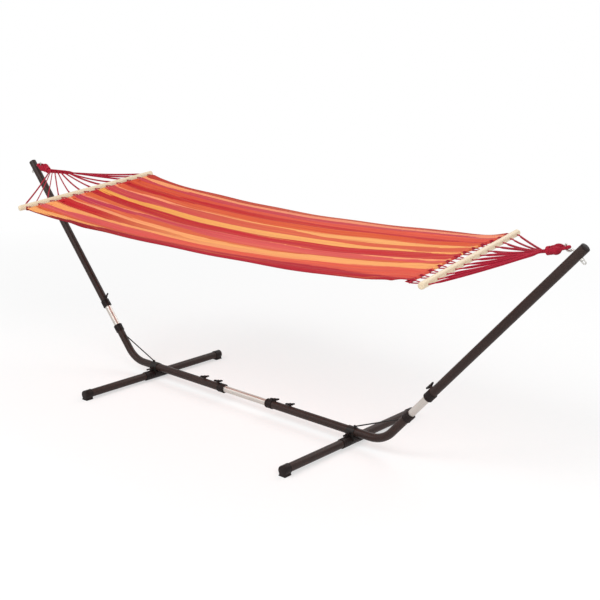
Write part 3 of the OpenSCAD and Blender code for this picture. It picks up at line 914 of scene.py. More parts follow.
@dataclass
class RopeEnd:
    """A rope eye on a hook, wound with cord, and the whipping that binds it.

    Attributes:
        side: Its end of the stand.
        hook_x: Distance of the eye's outer end from the middle of the stand.
        hook_z: Its height.
        slope: How steeply it falls towards the hammock, in radians.
        whip_at: Distance from the hook to the whipping's middle.
        whip_half: Half the whipping's length.
        core: Radius of the bundle that the whipping binds.
        roll: How far the eye lies rolled over, in radians.
        wound: Radius of the cord wound round the eye.
        wound_pitch: Distance between its turns.
        turns: Turns of the whipping.
        bound: Radius of the whipping's cord.
    """

    side: Side
    hook_x: float = 1.594347
    hook_z: float = 1.025088
    slope: float = math.atan(27 / 88)
    whip_at: float = 0.0785
    whip_half: float = 0.009
    core: float = 0.0124
    roll: float = 0.40
    wound: float = 0.0016
    wound_pitch: float = 0.0034
    turns: int = 4
    bound: float = 0.0023

    @property
    def body(self) -> str:
        """Returns the body that the rope end rides on."""
        return "hammock_left" if self.side is Side.LEFT else "right_rope"

    def at(self, x: float, y: float = 0.0, z: float = 0.0) -> np.ndarray:
        """Returns the point x down the slope from the hook, y to the rear and z square to the slope."""
        c, s = math.cos(self.slope), math.sin(self.slope)
        return np.array((self.side.value * (self.hook_x - (x * c + z * s)), y, self.hook_z - x * s + z * c))

    def eye_path(self) -> tuple[np.ndarray, np.ndarray]:
        """Gives the eye's centre line and its radius along it.

        Returns:
            The points, and the radius at each.
        """
        leg = [(0.077, 0.0068), (0.066, 0.0074), (0.054, 0.0086), (0.043, 0.0108), (0.032, 0.0144),
               (0.022, 0.0176), (0.012, 0.0176), (0.0046, 0.0144), (0.0004, 0.0080)]
        ring = [(x, -y) for x, y in leg] + [(-0.0010, 0.0)] + [(x, y) for x, y in reversed(leg)]
        c, s = math.cos(self.roll), math.sin(self.roll)
        local = curve_through([np.array((x, y, 0.0)) for x, y in ring], 10)
        grown = np.clip((local[:, 0] - 0.019) / 0.018, 0, 1)
        tapered = np.clip((0.086 - local[:, 0]) / 0.02, 0.6, 1)
        bulges = 0.0012 * (1 - np.cos(local[:, 0] * 2 * math.pi / 0.030)) * grown
        radius = (0.0037 + 0.0070 * eased(grown) + bulges) * tapered
        fade = np.clip((local[:, 0] - 0.020) / 0.022, 0, 1)
        y = local[:, 1] * (1 - fade * (1 - c))
        z = local[:, 1] * s * fade
        return np.array([self.at(*p) for p in np.stack([local[:, 0], y, z], axis=-1)]), radius

    def eye(self, material: bpy.types.Material) -> bpy.types.Object:
        """Makes the eye: a core with cord wound closely round it.

        Args:
            material: The cord's material.

        Returns:
            The piece.
        """
        path, radius = self.eye_path()
        made = CordMesh()
        made.add(path, radius)
        made.add(*self.winding(path, radius))
        piece = made.build(f"{self.side.label}_rope_eye")
        return settle(piece, material, self.body, (f"{self.side.label}_loop",))

    def winding(self, path: np.ndarray, radius: np.ndarray) -> tuple[np.ndarray, float]:
        """Winds a cord round a path.

        Args:
            path: The path's points.
            radius: The core's radius at each point.

        Returns:
            The cord's centre line and its radius.
        """
        run = run_along(path)
        first, second = frames_along(path)
        turns = run[-1] / self.wound_pitch
        t = np.linspace(0, 1, int(turns * 14))
        s = t * run[-1]
        centre, a, b = (np.stack([np.interp(s, run, v[:, k]) for k in range(3)], -1)
                        for v in (path, first, second))
        out = np.interp(s, run, radius) + self.wound * 0.8
        angle = t * turns * 2 * math.pi
        return centre + out[:, None] * (np.cos(angle)[:, None] * a + np.sin(angle)[:, None] * b), self.wound

    def whipping(self, material: bpy.types.Material) -> bpy.types.Object:
        """Makes the whipping: cord turns side by side round the bundle.

        Args:
            material: The cord's material.

        Returns:
            The piece.
        """
        made = CordMesh()
        t = np.linspace(0, 1, self.turns * 30)
        angle = t * self.turns * 2 * math.pi
        x = self.whip_at + (2 * t - 1) * (self.whip_half - self.bound)
        out = self.core + self.bound
        path = np.array([self.at(p, out * math.cos(q), out * math.sin(q)) for p, q in zip(x, angle)])
        made.add(path, self.bound)
        piece = made.build(f"{self.side.label}_wound_whipping")
        return settle(piece, material, self.body, (f"{self.side.label}_whipping",))


@dataclass
class FanCords:
    """The doubled cords from a whipping through a spreader bar and round the hem rope.

    Attributes:
        bar: The bar that they run through.
        rope: The rope end that they leave.
        bundled: Length over which the cords leave the bundle.
        one_by_one: True where they leave it from the front cord to the rear one.
        heads_for: Number of the hole that the bundle runs towards.
        seed: Seed of the small differences between cords.
        thin: Radius of a strand in the neck.
        thick: Radius of a strand between neck and bar.
        drilled: Radius of a strand in its hole.
        hitched: Radius of a strand round the hem rope.
        knee: Distance from the bar's axis to where a cord turns into its hole.
        mouth: Distance from that axis to the hole's mouth.
        clear: Distance from the whipping's middle to where the strands are free of it.
    """

    bar: SpreaderBar
    rope: RopeEnd
    bundled: float
    one_by_one: bool
    heads_for: float
    seed: int
    thin: float = 0.00138
    thick: float = 0.0025
    drilled: float = 0.0019
    hitched: float = 0.0024
    knee: float = 0.0182
    mouth: float = 0.0135
    clear: float = 0.012

    def bundle(self) -> np.ndarray:
        """Gives the strands' places across the neck, two for each cord.

        Returns:
            Cords by two by two: distance to the rear and up.
        """
        places = []
        for count, wide in ((14, 4.4), (7, 2.6), (3, 1.1)):
            radius = wide * self.thin
            angles = np.linspace(0, 2 * math.pi, count, endpoint=False) + radius * 100
            places += [(radius * math.cos(a), radius * math.sin(a)) for a in angles]
        return np.array(sorted(places)).reshape(CORD_COUNT, 2, 2)

    def outside(self, index: int, slack: float, lean: float) -> list[tuple[np.ndarray, np.ndarray]]:
        """Gives a pair's two strands from the whipping to the mouth of their hole.

        Args:
            index: Which hole.
            slack: How far the pair sags.
            lean: How far the pair's strands lie out of the vertical, in radians.

        Returns:
            The points and the radii of each strand.
        """
        late = eased(index / (CORD_COUNT - 2)) if self.one_by_one else (
            1 - abs(index - (CORD_COUNT - 1) / 2) / ((CORD_COUNT - 1) / 2))
        leaves = self.clear + self.bundled * late
        along = cord_place(index)
        knee = self.bar.at(self.knee, along)
        mouth = self.bar.at(self.mouth, along)
        strands = self.bundle()[index]
        middle = strands.mean(axis=0)
        bound = [self.rope.at(self.rope.whip_at + x, *middle) for x in (-self.clear, 0.0, self.clear)]
        heading = self.bar.at(self.knee, cord_place(self.heads_for)) - self.rope.at(self.rope.whip_at)
        heading /= np.linalg.norm(heading)
        root = bound[-1] + self.rope.at(0, *(middle * 0.86)) - self.rope.at(0, *middle)
        bound += [root + heading * x for x in np.linspace(0, leaves, max(2, round(leaves / 0.016)) + 1)[1:]]
        start = bound[-1]
        way = knee - start
        far = knee - way / np.linalg.norm(way) * 0.010
        free = [start + (far - start) * t - np.array((0, 0, slack * 4 * t * (1 - t)))
                for t in np.linspace(0, 1, 16)[1:]]
        bend = [far * (1 - t) ** 2 + knee * 2 * t * (1 - t) + mouth * t * t for t in (0.25, 0.5, 0.75, 1.0)]
        path = curve_through([*bound, *free, *bend], 3)
        run = run_along(path)
        left = run[-1] - run
        first = self.bar.turn(np.array((0.0, 1.0, 0.0)))
        tangent = np.gradient(path, axis=0)
        tangent /= np.linalg.norm(tangent, axis=1)[:, None]
        first = first - tangent * (tangent @ first)[:, None]
        first /= np.linalg.norm(first, axis=1)[:, None]
        second = np.cross(tangent, first)
        tied = 1 - eased((run - leaves - self.clear) / 0.05)
        turn = (math.pi / 2 + lean * 0.5) * eased((left - 0.012) / 0.045)
        made = []
        for k, sign in enumerate((1, -1)):
            apart = strands[k] - middle
            inside = np.array([self.rope.at(0, *apart) - self.rope.at(0)])
            wound = (np.cos(turn)[:, None] * first + np.sin(turn)[:, None] * second) * sign
            radius = self.thin + (self.thick - self.thin) * (1 - tied)
            radius = radius + (self.drilled - self.thick) * eased(1 - left / 0.02) * (1 - tied)
            points = path + tied[:, None] * inside + ((1 - tied) * radius)[:, None] * wound
            made.append((points, radius))
        return made

    def wrap(self, index: int) -> np.ndarray:
        """Gives the path from hole to hem rope, round it and back.

        Args:
            index: Which hole.

        Returns:
            The points, from one strand's hole to the other's.
        """
        along, s = cord_place(index), self.drilled
        place = float(self.bar.hem_place(along))
        rope = -float(self.bar.hem_gap(np.array(place)))
        out = HEM_ROPE_RADIUS + s
        near, beside = rope * 0.4 - 0.0087, along + (place - along) * 0.6
        points = [self.bar.at(x, along + s) for x in (0.008, 0.0, -0.008, -0.0145)]
        points.append(self.bar.at(near, beside + s * 0.9, out * 0.5))
        for angle in np.linspace(80, 280, 11):
            a = math.radians(angle)
            across = s * math.cos(math.radians((angle - 80) * 0.9))
            points.append(self.bar.at(rope + out * math.cos(a), place + across, out * math.sin(a)))
        points.append(self.bar.at(near, beside - s * 0.9, -out * 0.5))
        points += [self.bar.at(x, along - s) for x in (-0.0145, -0.008, 0.0, 0.008)]
        return curve_through(points, 3)

    def build(self, material: bpy.types.Material) -> bpy.types.Object:
        """Makes all the cords of one end as one piece.

        Args:
            material: The cord's material.

        Returns:
            The piece.
        """
        chance = np.random.default_rng(self.seed)
        made = CordMesh()
        for index in range(CORD_COUNT):
            one, other = self.outside(index, 0.001 + 0.007 * chance.random(), chance.uniform(-1, 1))
            wrap = self.wrap(index)
            path = np.vstack([one[0], wrap, other[0][::-1]])
            outside = np.linalg.norm(wrap - self.bar.at(0.0, cord_place(index)), axis=1)
            wound = self.drilled + (self.hitched - self.drilled) * eased((outside - 0.014) / 0.01)
            radius = np.concatenate([one[1], wound, other[1][::-1]])
            made.add(path, radius)
        side = self.bar.side
        piece = made.build(f"{side.label}_fan_cords")
        nodes = (f"{side.label}_cords",)
        if side is Side.LEFT:
            return settle(piece, material, "hammock_left", nodes)
        settle(piece, material, None, nodes)
        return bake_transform(piece)


@dataclass
class HemRope:
    """The rope in the cloth's hem.

    Attributes:
        bar: The bar beside it.
        half: Half its length.
    """

    bar: SpreaderBar
    half: float = 0.392

    def build(self, material: bpy.types.Material) -> bpy.types.Object:
        """Makes the rope.

        Args:
            material: The cord's material.

        Returns:
            The piece.
        """
        made = CordMesh(12)
        steps = np.linspace(-self.half, self.half * (1 - self.bar.drawn), 180)
        made.add(self.bar.hem(steps), HEM_ROPE_RADIUS)
        side = self.bar.side.label
        piece = made.build(f"{side}_hem_cord")
        return settle(piece, material, f"hammock_{side}", (f"{side}_hem_rope",))


# ---------------------------------------------------------------- cloth

STATIONS = (0.06, 0.30, 0.54, 0.78, 0.96)  # places along the cloth, from 0 at its left hem to 1


@dataclass(frozen=True)
class Stripe:
    """One lengthwise stripe.

    Attributes:
        colour: Its display colour at the left end.
        right: Its display colour at the right end.
        ends: Where it ends at each station, in millimetres from the front edge.
    """

    colour: str
    right: str
    ends: tuple[int, int, int, int, int]


STRIPES = (
    # The first stripe is partly the real dark selvage and partly painted shade of the rolled front edge: it
    # widens to 50–60 mm where the edge is rolled under.
    Stripe("8C1A26", "B22C38", (-14, 20, 50, 60, 48)),
    Stripe("F0A664", "B22C38", (42, 20, 50, 60, 48)),
    Stripe("D4603C", "CA4640", (60, 40, 50, 60, 48)),
    Stripe("D45458", "E05C4A", (98, 128, 118, 160, 180)),
    Stripe("F4A262", "F29E6A", (150, 150, 165, 160, 180)),
    Stripe("BE1E28", "F4A468", (220, 192, 165, 160, 180)),
    Stripe("F69C6C", "F8AC6A", (245, 245, 210, 235, 240)),
    Stripe("DA6042", "DC6A44", (262, 290, 245, 250, 265)),
    Stripe("BE3850", "DC5C58", (303, 338, 345, 310, 280)),
    Stripe("EC8464", "F4A070", (322, 338, 345, 310, 315)),
    Stripe("D8643C", "D8503C", (350, 338, 345, 310, 318)),
    Stripe("BA262C", "C6343A", (405, 405, 403, 400, 400)),
    Stripe("F0A650", "F8B068", (450, 468, 477, 457, 405)),
    Stripe("C6444C", "DC664A", (512, 530, 535, 490, 485)),
    Stripe("F89870", "F8B06C", (530, 550, 562, 560, 522)),
    Stripe("D85E3E", "DC5E3C", (555, 600, 610, 610, 568)),
    Stripe("BC242A", "C63A3A", (602, 640, 650, 640, 590)),
    Stripe("D65034", "E05A48", (670, 680, 690, 690, 660)),
    Stripe("C84850", "C85058", (688, 706, 709, 705, 673)),
    Stripe("F4A06C", "F09676", (722, 726, 733, 724, 716)),
    Stripe("BA4034", "C45A48", (758, 760, 757, 746, 736)))


def along_stations(u: np.ndarray, stations: tuple[float, ...], table: np.ndarray) -> np.ndarray:
    """Interpolates smoothly between stations.

    Args:
        u: Places along the cloth.
        stations: Places at which the table holds.
        table: A row of numbers for each station.

    Returns:
        A row for each place.
    """
    s = np.array(stations)
    u = np.clip(u, s[0], s[-1])
    slope = np.gradient(table, s, axis=0)
    k = np.clip(np.searchsorted(s, u, side="right") - 1, 0, len(s) - 2)
    h = (s[k + 1] - s[k])[:, None]
    x = (u[:, None] - s[k][:, None]) / h
    return ((2 * x ** 3 - 3 * x ** 2 + 1) * table[k] + (x ** 3 - 2 * x ** 2 + x) * h * slope[k]
            + (3 * x ** 2 - 2 * x ** 3) * table[k + 1] + (x ** 3 - x ** 2) * h * slope[k + 1])


@dataclass(frozen=True)
class StripedCloth:
    """Woven cotton in lengthwise stripes.

    The map "UVMap" is in metres across and along the cloth. "StripeMap" has the stripe's number
    in U, as a share of all, and the place from the left end in V.

    Attributes:
        stripes: The stripes from the front edge.
        yarn: Distance between yarns.
        light: Display colour of the light threads that stray over the stripes.
        deep: Display colour of the deep ones.
        shade: What the dyed colour is multiplied by between the yarns.
    """

    stripes: tuple[Stripe, ...] = STRIPES
    yarn: float = 0.0016
    light: str = "F4A460"
    deep: str = "B42838"
    shade: Colour = (0.72, 0.62, 0.60)

    def material(self) -> bpy.types.Material:
        """Builds the material.

        Returns:
            The material.
        """
        s = Shader("striped_cloth")
        split = s.node("ShaderNodeSeparateXYZ", inputs={
            0: s.node("ShaderNodeUVMap", {"uv_map": "UVMap"}).outputs[0]})
        across, along = s.value(split, 0), s.value(split, 1)
        place = s.node("ShaderNodeSeparateXYZ", inputs={
            0: s.node("ShaderNodeUVMap", {"uv_map": "StripeMap"}).outputs[0]})
        number, length = s.value(place, 0), s.value(place, 1)
        stretched = s.node("ShaderNodeCombineXYZ", inputs={0: across * 900.0, 1: along * 5.0})
        slub = s.noise(stretched.outputs[0], 1.0, 2.0)
        lines = s.noise(s.node("ShaderNodeCombineXYZ", inputs={0: across * 170.0}).outputs[0], 1.0, 2.0)
        wide = s.node("ShaderNodeCombineXYZ", inputs={0: across * 30.0, 1: along * 2.0})
        shade = s.noise(wide.outputs[0], 1.0, 3.0)
        count = len(self.stripes)
        ramps = []
        for codes in ([x.colour for x in self.stripes], [x.right for x in self.stripes]):
            stops = [(k / count, hexed(code)) for k, code in enumerate(codes)]
            ramps.append(s.node("ShaderNodeValToRGB", {"interpolation": "CONSTANT", "stops": stops}, {
                0: number + (slub - 0.5) * (0.08 / count) + (lines - 0.5) * (1.0 / count)}).outputs[0])
        dyed = s.tint(length.between(0.14, 0.52), *ramps)
        thin = s.node("ShaderNodeCombineXYZ", inputs={0: across * 210.0, 1: along * 1.1})
        fleck = s.noise(thin.outputs[0], 1.0, 2.0)
        dyed = s.tint(((fleck - 0.54) * 1.7).clamp(), dyed, hexed(self.light))
        dyed = s.tint(((0.46 - fleck) * 1.7).clamp(), dyed, hexed(self.deep))
        warp = (across * (2 * math.pi / self.yarn)).sin()
        weft = (along * (2 * math.pi / self.yarn)).sin()
        weave = (warp * weft) * 0.5 + 0.5
        dark = s.node("ShaderNodeMix", {"data_type": "RGBA", "blend_type": "MULTIPLY"}, {
            0: 1.0, 6: dyed, 7: (*self.shade, 1.0)}).outputs[2]
        mask = ((1.0 - weave) * 0.35 + (slub - 0.5) * 0.6 + (shade - 0.5) * 0.5).clamp()
        return s.finish(s.tint(mask, dyed, dark), 0.86, weave + slub * 0.6, 0.0004,
                        Sheen_Weight=0.03, Specular_IOR_Level=0.06)


@dataclass
class Cloth:
    """The striped cloth with its hem sleeves and its front edge rolled under.

    Attributes:
        left: The left bar.
        right: The right bar.
        width: The flat width.
        waist: Narrowing of each long edge at the middle.
        edge_sag: Sag of the long edges.
        middle_sag: Extra sag along the middle line.
        roll: Width of the front edge that is rolled under.
        roll_radius: Radius of the roll's bend.
        lap: Length of each end that is turned back under.
        lap_under: Distance of the lap's end below the hem rope's centre.
        thick: The cloth's thickness.
        notch: Half the width of the slits where cords reach the hem rope.
        span: Length between the hem ropes.
        gathers: Height and reach of the gathers at the left and at the right hem.
        folds: Height, waves along the width, sway and waves of the sway of each set of small folds.
        crease: Place, depth and half-width of the long crease behind the roll.
        seed: Seed of the small folds.
        phases: Their phases.
    """

    left: SpreaderBar
    right: SpreaderBar
    width: float = 2 * HALF_CLOTH
    waist: float = 0.022
    edge_sag: float = 0.044
    middle_sag: float = 0.034
    roll: float = 0.044
    roll_radius: float = 0.0065
    lap: float = 0.024
    lap_under: float = 0.0022
    thick: float = 0.0014
    notch: float = 0.0130
    span: float = 2.28
    gathers: tuple[tuple[float, float], ...] = ((0.0062, 0.15), (0.0046, 0.10))
    folds: tuple[tuple[float, ...], ...] = (
        (0.0018, 62, 2.2, 3.1), (0.0014, 105, 3.0, 4.3), (0.0009, 190, 2.0, 7.0))
    crease: Triple = (0.172, 0.0058, 0.0075)
    seed: int = 11
    phases: np.ndarray = field(init=False)

    def __post_init__(self) -> None:
        """Draws the phases of the small folds."""
        self.phases = np.random.default_rng(self.seed).uniform(0, 2 * math.pi, 12)

    @property
    def ring(self) -> float:
        """Returns the distance from a hem rope's centre to the middle of the cloth round it."""
        return HEM_ROPE_RADIUS + self.thick * 0.5 + 0.0003

    def half_width(self, u: np.ndarray) -> np.ndarray:
        """Returns half the cloth's width at each place along it, in a column."""
        return (HALF_CLOTH - self.waist * np.sin(math.pi * u))[:, None]

    def edges(self, u: np.ndarray) -> tuple[np.ndarray, np.ndarray]:
        """Gives the front and rear edges.

        Args:
            u: Places along the cloth.

        Returns:
            Each edge's distance along the bars, in a column.
        """
        half = self.half_width(u)
        front = along_stations(u, (0.0, 0.10, 0.25, 0.5, 0.85, 0.90, 0.96, 1.0), np.array(
            [[-0.010], [-0.022], [-0.012], [0.0], [0.001], [0.010], [0.028], [0.004]]))
        rear = along_stations(u, (0.0, 0.06, 0.30, 0.54, 0.78, 0.90, 0.96, 1.0), np.array(
            [[0.7644], [0.759], [0.760], [0.757], [0.746], [0.738], [0.736], [0.752]]))
        return half * (front / HALF_CLOTH - 1), half * (rear / HALF_CLOTH - 1)

    def rolled(self, u: np.ndarray) -> np.ndarray:
        """Returns how much of the front edge is rolled under at each place along the cloth."""
        return self.roll * eased((u - 0.10) / 0.2) * (1 - 0.8 * eased((u - 0.90) / 0.09)) * (
            1 - eased((u - 0.985) / 0.015))

    def stripe_numbers(self, u: np.ndarray, y: np.ndarray) -> np.ndarray:
        """Gives the stripe at each point.

        Args:
            u: Place of each row along the cloth.
            y: Distance of each point along the bars, rows by columns.

        Returns:
            The number of the stripe, plus the share of its width up to the point.
        """
        ends = np.array([stripe.ends for stripe in STRIPES], float).T / 1000
        rows = np.maximum.accumulate(along_stations(u, STATIONS, ends), axis=1)
        rows = np.hstack([np.full((len(u), 1), -0.03), rows]) + np.arange(len(STRIPES) + 1) * 1e-7
        place = (y / self.half_width(u) + 1) * HALF_CLOTH
        numbers = np.arange(len(STRIPES) + 1)
        return np.array([np.interp(p, row, numbers) for p, row in zip(place, rows)])

    def surface(self, u: np.ndarray, f: np.ndarray) -> tuple[np.ndarray, np.ndarray]:
        """Gives points of the span between the two hem ropes.

        Args:
            u: Place along the span, from 0 at the left rope to 1, one for each row.
            f: Distance from the front edge, one for each column.

        Returns:
            The points, rows by columns by three, and their stripe numbers.
        """
        front, rear = self.edges(u)
        rows = u
        u, f = np.meshgrid(u, f, indexing="ij")
        q = self.rolled(u)
        flat = np.maximum(f - q, 0.0)
        under = np.maximum(q - f, 0.0)
        flat_y = front + flat / (self.width - q) * (rear - front)
        turned = np.clip(under / self.roll_radius, 0, math.pi)
        past = np.maximum(under - math.pi * self.roll_radius, 0.0)
        tucked = np.clip(q / 0.02, 0, 1)
        bend = tucked * self.roll_radius
        y = flat_y + np.where(under > 0, bend * (1 - np.sin(turned)) + tucked * past, 0.0)
        y = y + bend * np.exp(-flat / 0.01) * (under <= 0)
        drop = bend * (1 - np.cos(turned))
        # The rolled-under part takes the first stripe's dark crimson: painted shade under the roll.
        numbers = np.where(under > 0, 0.3, self.stripe_numbers(rows, y))
        left, right = self.left.hem(y), self.right.hem(y)
        w = u[..., None]
        points = left * (1 - w) + right * w
        v = np.clip(y / HALF_CLOTH, -1, 1)
        dip = self.edge_sag * 4 * u * (1 - u) + self.middle_sag * (1 - v ** 2) * np.sin(math.pi * u)
        from_left, from_right = u * self.span, (1 - u) * self.span
        lift = self.ring * (np.exp(-from_left / 0.03) + np.exp(-from_right / 0.03))
        wave = np.cos((y / CORD_PITCH + (CORD_COUNT - 1) / 2) * 2 * math.pi)
        gather = sum(height * np.exp(-away / reach) * np.clip(away / 0.03, 0, 1)
                     for away, (height, reach) in zip((from_left, from_right), self.gathers))
        p = self.phases
        folds = sum(height * np.sin(f * waves + p[2 * k] + sway * np.sin(turns * u + p[2 * k + 1]))
                    for k, (height, waves, sway, turns) in enumerate(self.folds))
        place, depth, half = self.crease
        crease = place + 0.012 * np.sin(5 * u + 1.0)
        folds -= depth * np.exp(-((f - crease) / half) ** 2) * eased((u - 0.28) / 0.2) * (
            1 - eased((u - 0.80) / 0.15))
        folds *= np.clip(from_left / 0.08, 0, 1) * np.clip(from_right / 0.08, 0, 1)
        slope = 0.0012 * np.sin(u * 31 + p[6]) * np.sin(f * 17 + p[7])
        points[..., 2] += lift - dip - drop + gather * wave + folds + slope
        return points, numbers

    def sleeve(self, bar: SpreaderBar, y: np.ndarray) -> np.ndarray:
        """Gives the rows that go round a hem rope and back under the cloth.

        Args:
            bar: The bar beside the hem.
            y: Distances along the bar.

        Returns:
            Rows from the top of the rope to the end of the lap.
        """
        centre = bar.hem(y)
        inward = bar.turn(np.array((-bar.side.value, 0.0, 0.0)))
        up = bar.turn(np.array((0.0, 0.0, 1.0)))
        rows = [centre + self.ring * (up * math.cos(a) - inward * math.sin(a))
                for a in np.linspace(0, math.pi, 9)[1:]]
        for t in np.linspace(0, 1, 5)[1:]:
            rows.append(centre + inward * self.lap * t - up * (self.ring * (1 - t) + self.lap_under * t))
        return np.array(rows)

    def build(self, material: bpy.types.Material, with_pieces: list[bpy.types.Object]) -> bpy.types.Object:
        """Makes the cloth as one sheet.

        Args:
            material: The cloth's material.
            with_pieces: The hem ropes inside it. Not used.

        Returns:
            The piece.
        """
        f = np.linspace(0, self.width, 216)
        t = np.linspace(0, 1, 168)
        u = t - 0.72 * np.sin(2 * math.pi * t) / (2 * math.pi)
        top, numbers = self.surface(u, f)
        front, rear = self.edges(np.array([0.0, 1.0]))
        ends = front + f[None, :] / self.width * (rear - front)
        left_rows, right_rows = self.sleeve(self.left, ends[0]), self.sleeve(self.right, ends[1])
        grid = np.concatenate([left_rows[::-1], top, right_rows])
        wrap = len(left_rows)
        numbers = np.concatenate([np.repeat(numbers[:1], wrap, axis=0), numbers,
                                  np.repeat(numbers[-1:], wrap, axis=0)]) / len(STRIPES)
        lengths = np.linalg.norm(np.diff(grid, axis=0), axis=2).mean(axis=1)
        run = np.concatenate([[0], np.cumsum(lengths)])
        rows, cols = grid.shape[:2]
        slit = [np.abs(((y[:-1] + y[1:]) / 2)[None, :] - bar.hem_place(
            np.array([cord_place(i) for i in range(CORD_COUNT)]))[:, None]).min(axis=0) < self.notch
            for bar, y in ((self.left, ends[0]), (self.right, ends[1]))]
        faces, uvs, marks = [], [], []
        for i in range(rows - 1):
            left_end, right_end = wrap - 9 <= i < wrap + 2, wrap - 9 <= rows - 2 - i < wrap + 2
            for j in range(cols - 1):
                if left_end and slit[0][j] or right_end and slit[1][j]:
                    continue
                corners = ((i, j), (i + 1, j), (i + 1, j + 1), (i, j + 1))
                faces.append([a * cols + b for a, b in corners])
                uvs += [(f[b], run[a]) for a, b in corners]
                marks += [(numbers[a, b], run[a] / run[-1]) for a, b in corners]
        piece = new_mesh("striped_cloth_sheet", grid.reshape(-1, 3), faces, uvs)
        layer = piece.data.uv_layers.new(name="StripeMap")
        layer.data.foreach_set("uv", np.array(marks, np.float32).ravel())
        self.drop_loose(piece.data)
        solid = piece.modifiers.new("thickness", "SOLIDIFY")
        solid.thickness = self.thick
        solid.offset = 0.0
        bpy.context.view_layer.objects.active = piece
        bpy.ops.object.modifier_apply(modifier=solid.name)
        settle(piece, material, None, ("cloth",))
        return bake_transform(piece)

    @staticmethod
    def drop_loose(mesh: bpy.types.Mesh) -> None:
        """Removes points that no face uses.

        Args:
            mesh: The mesh.
        """
        made = bmesh.new()
        made.from_mesh(mesh)
        loose = [v for v in made.verts if not v.link_faces]
        bmesh.ops.delete(made, geom=loose, context="VERTS")
        made.to_mesh(mesh)
        made.free()


# ---------------------------------------------------------------- hardware

FINE = 64  # faces round a cylinder as wide as a tube


class Workshop:
    """Models a rigid piece from primitives about the origin."""

    def __init__(self) -> None:
        """Starts with an empty bench."""
        self.parts: list[bpy.types.Object] = []

    def _keep(self, edge: float, segments: int) -> bpy.types.Object:
        """Applies the new primitive's place and rounds its edges.

        Args:
            edge: Width of the rounding.
            segments: Faces across it.

        Returns:
            The part.
        """
        part = bpy.context.object
        bpy.ops.object.transform_apply(location=True, rotation=True, scale=True)
        if edge:
            bevel = part.modifiers.new("edge", "BEVEL")
            bevel.width, bevel.segments, bevel.angle_limit = edge, segments, math.radians(40)
            bpy.ops.object.modifier_apply(modifier=bevel.name)
        self.parts.append(part)
        return part

    def rod(self, radius: float, low: float, high: float, edge: float = 0.0, axis: str = "Z",
            at: Triple = (0.0, 0.0, 0.0), tip: float | None = None,
            sides: int = 40, segments: int = 3) -> bpy.types.Object:
        """Adds a cylinder or a cone.

        Args:
            radius: Its radius at the low end.
            low: Where it starts along its axis.
            high: Where it ends.
            edge: Rounding of its rims.
            axis: "X", "Y" or "Z".
            at: A point on its axis.
            tip: Its radius at the high end, where that differs.
            sides: Faces round it.
            segments: Faces across the rounding.

        Returns:
            The part.
        """
        bpy.ops.object.select_all(action="DESELECT")
        number = "XYZ".index(axis)
        middle = list(at)
        middle[number] += (low + high) / 2
        turn = {"X": (0, math.pi / 2, 0), "Y": (-math.pi / 2, 0, 0), "Z": (0, 0, 0)}[axis]
        bpy.ops.mesh.primitive_cone_add(vertices=sides, radius1=radius, location=middle, rotation=turn,
                                        radius2=radius if tip is None else tip, depth=high - low)
        return self._keep(edge, segments)

    def box(self, size: Triple, at: Triple,
            edge: float = 0.0, turn: Triple = (0.0, 0.0, 0.0)) -> bpy.types.Object:
        """Adds a box.

        Args:
            size: Its three sides.
            at: Its middle.
            edge: Rounding of its edges.
            turn: Its rotation in radians.

        Returns:
            The part.
        """
        bpy.ops.object.select_all(action="DESELECT")
        bpy.ops.mesh.primitive_cube_add(size=1, location=at, scale=size, rotation=turn)
        return self._keep(edge, 3)

    def ball(self, radius: float, at: Triple,
             scale: Triple = (1.0, 1.0, 1.0)) -> bpy.types.Object:
        """Adds a ball, or an ellipsoid.

        Args:
            radius: Its radius.
            at: Its middle.
            scale: Factors along the axes.

        Returns:
            The part.
        """
        bpy.ops.object.select_all(action="DESELECT")
        bpy.ops.mesh.primitive_uv_sphere_add(segments=24, ring_count=14, radius=radius, location=at,
                                             scale=scale)
        return self._keep(0.0, 0)

    def ring(self, major: float, minor: float, place: float, axis: str = "Z", height: float = 0.0
             ) -> bpy.types.Object:
        """Adds a ring.

        Args:
            major: Radius to the middle of its section.
            minor: Radius of its section.
            place: Where it lies along its axis.
            axis: "X" or "Z".
            height: Height of its axis over the origin, for "X".

        Returns:
            The part.
        """
        bpy.ops.object.select_all(action="DESELECT")
        at = (place, 0, height) if axis == "X" else (0, 0, place)
        turn = (0, math.pi / 2, 0) if axis == "X" else (0, 0, 0)
        bpy.ops.mesh.primitive_torus_add(major_radius=major, minor_radius=minor, major_segments=32,
                                         minor_segments=8, location=at, rotation=turn)
        return self._keep(0.0, 0)

    def cut(self, body: bpy.types.Object, tool: bpy.types.Object) -> None:
        """Cuts one part out of another and clears the tool away.

        Args:
            body: The part that stays.
            tool: The part that is cut out.
        """
        self.parts.remove(tool)
        change = body.modifiers.new("cut", "BOOLEAN")
        change.operation, change.object, change.solver = "DIFFERENCE", tool, "EXACT"
        bpy.context.view_layer.objects.active = body
        bpy.ops.object.modifier_apply(modifier=change.name)
        bpy.data.objects.remove(tool)

    def finish(self, name: str) -> bpy.types.Object:
        """Joins the parts to a model that is copied later.

        Args:
            name: The model's name.

        Returns:
            The model, about the origin.
        """
        bpy.ops.object.select_all(action="DESELECT")
        for part in self.parts:
            part.select_set(True)
        model = self.parts[0]
        bpy.context.view_layer.objects.active = model
        if len(self.parts) > 1:
            bpy.ops.object.join()
        bpy.ops.object.shade_smooth_by_angle(angle=math.radians(35))
        model.name = model.data.name = f"{name}_model"
        return model


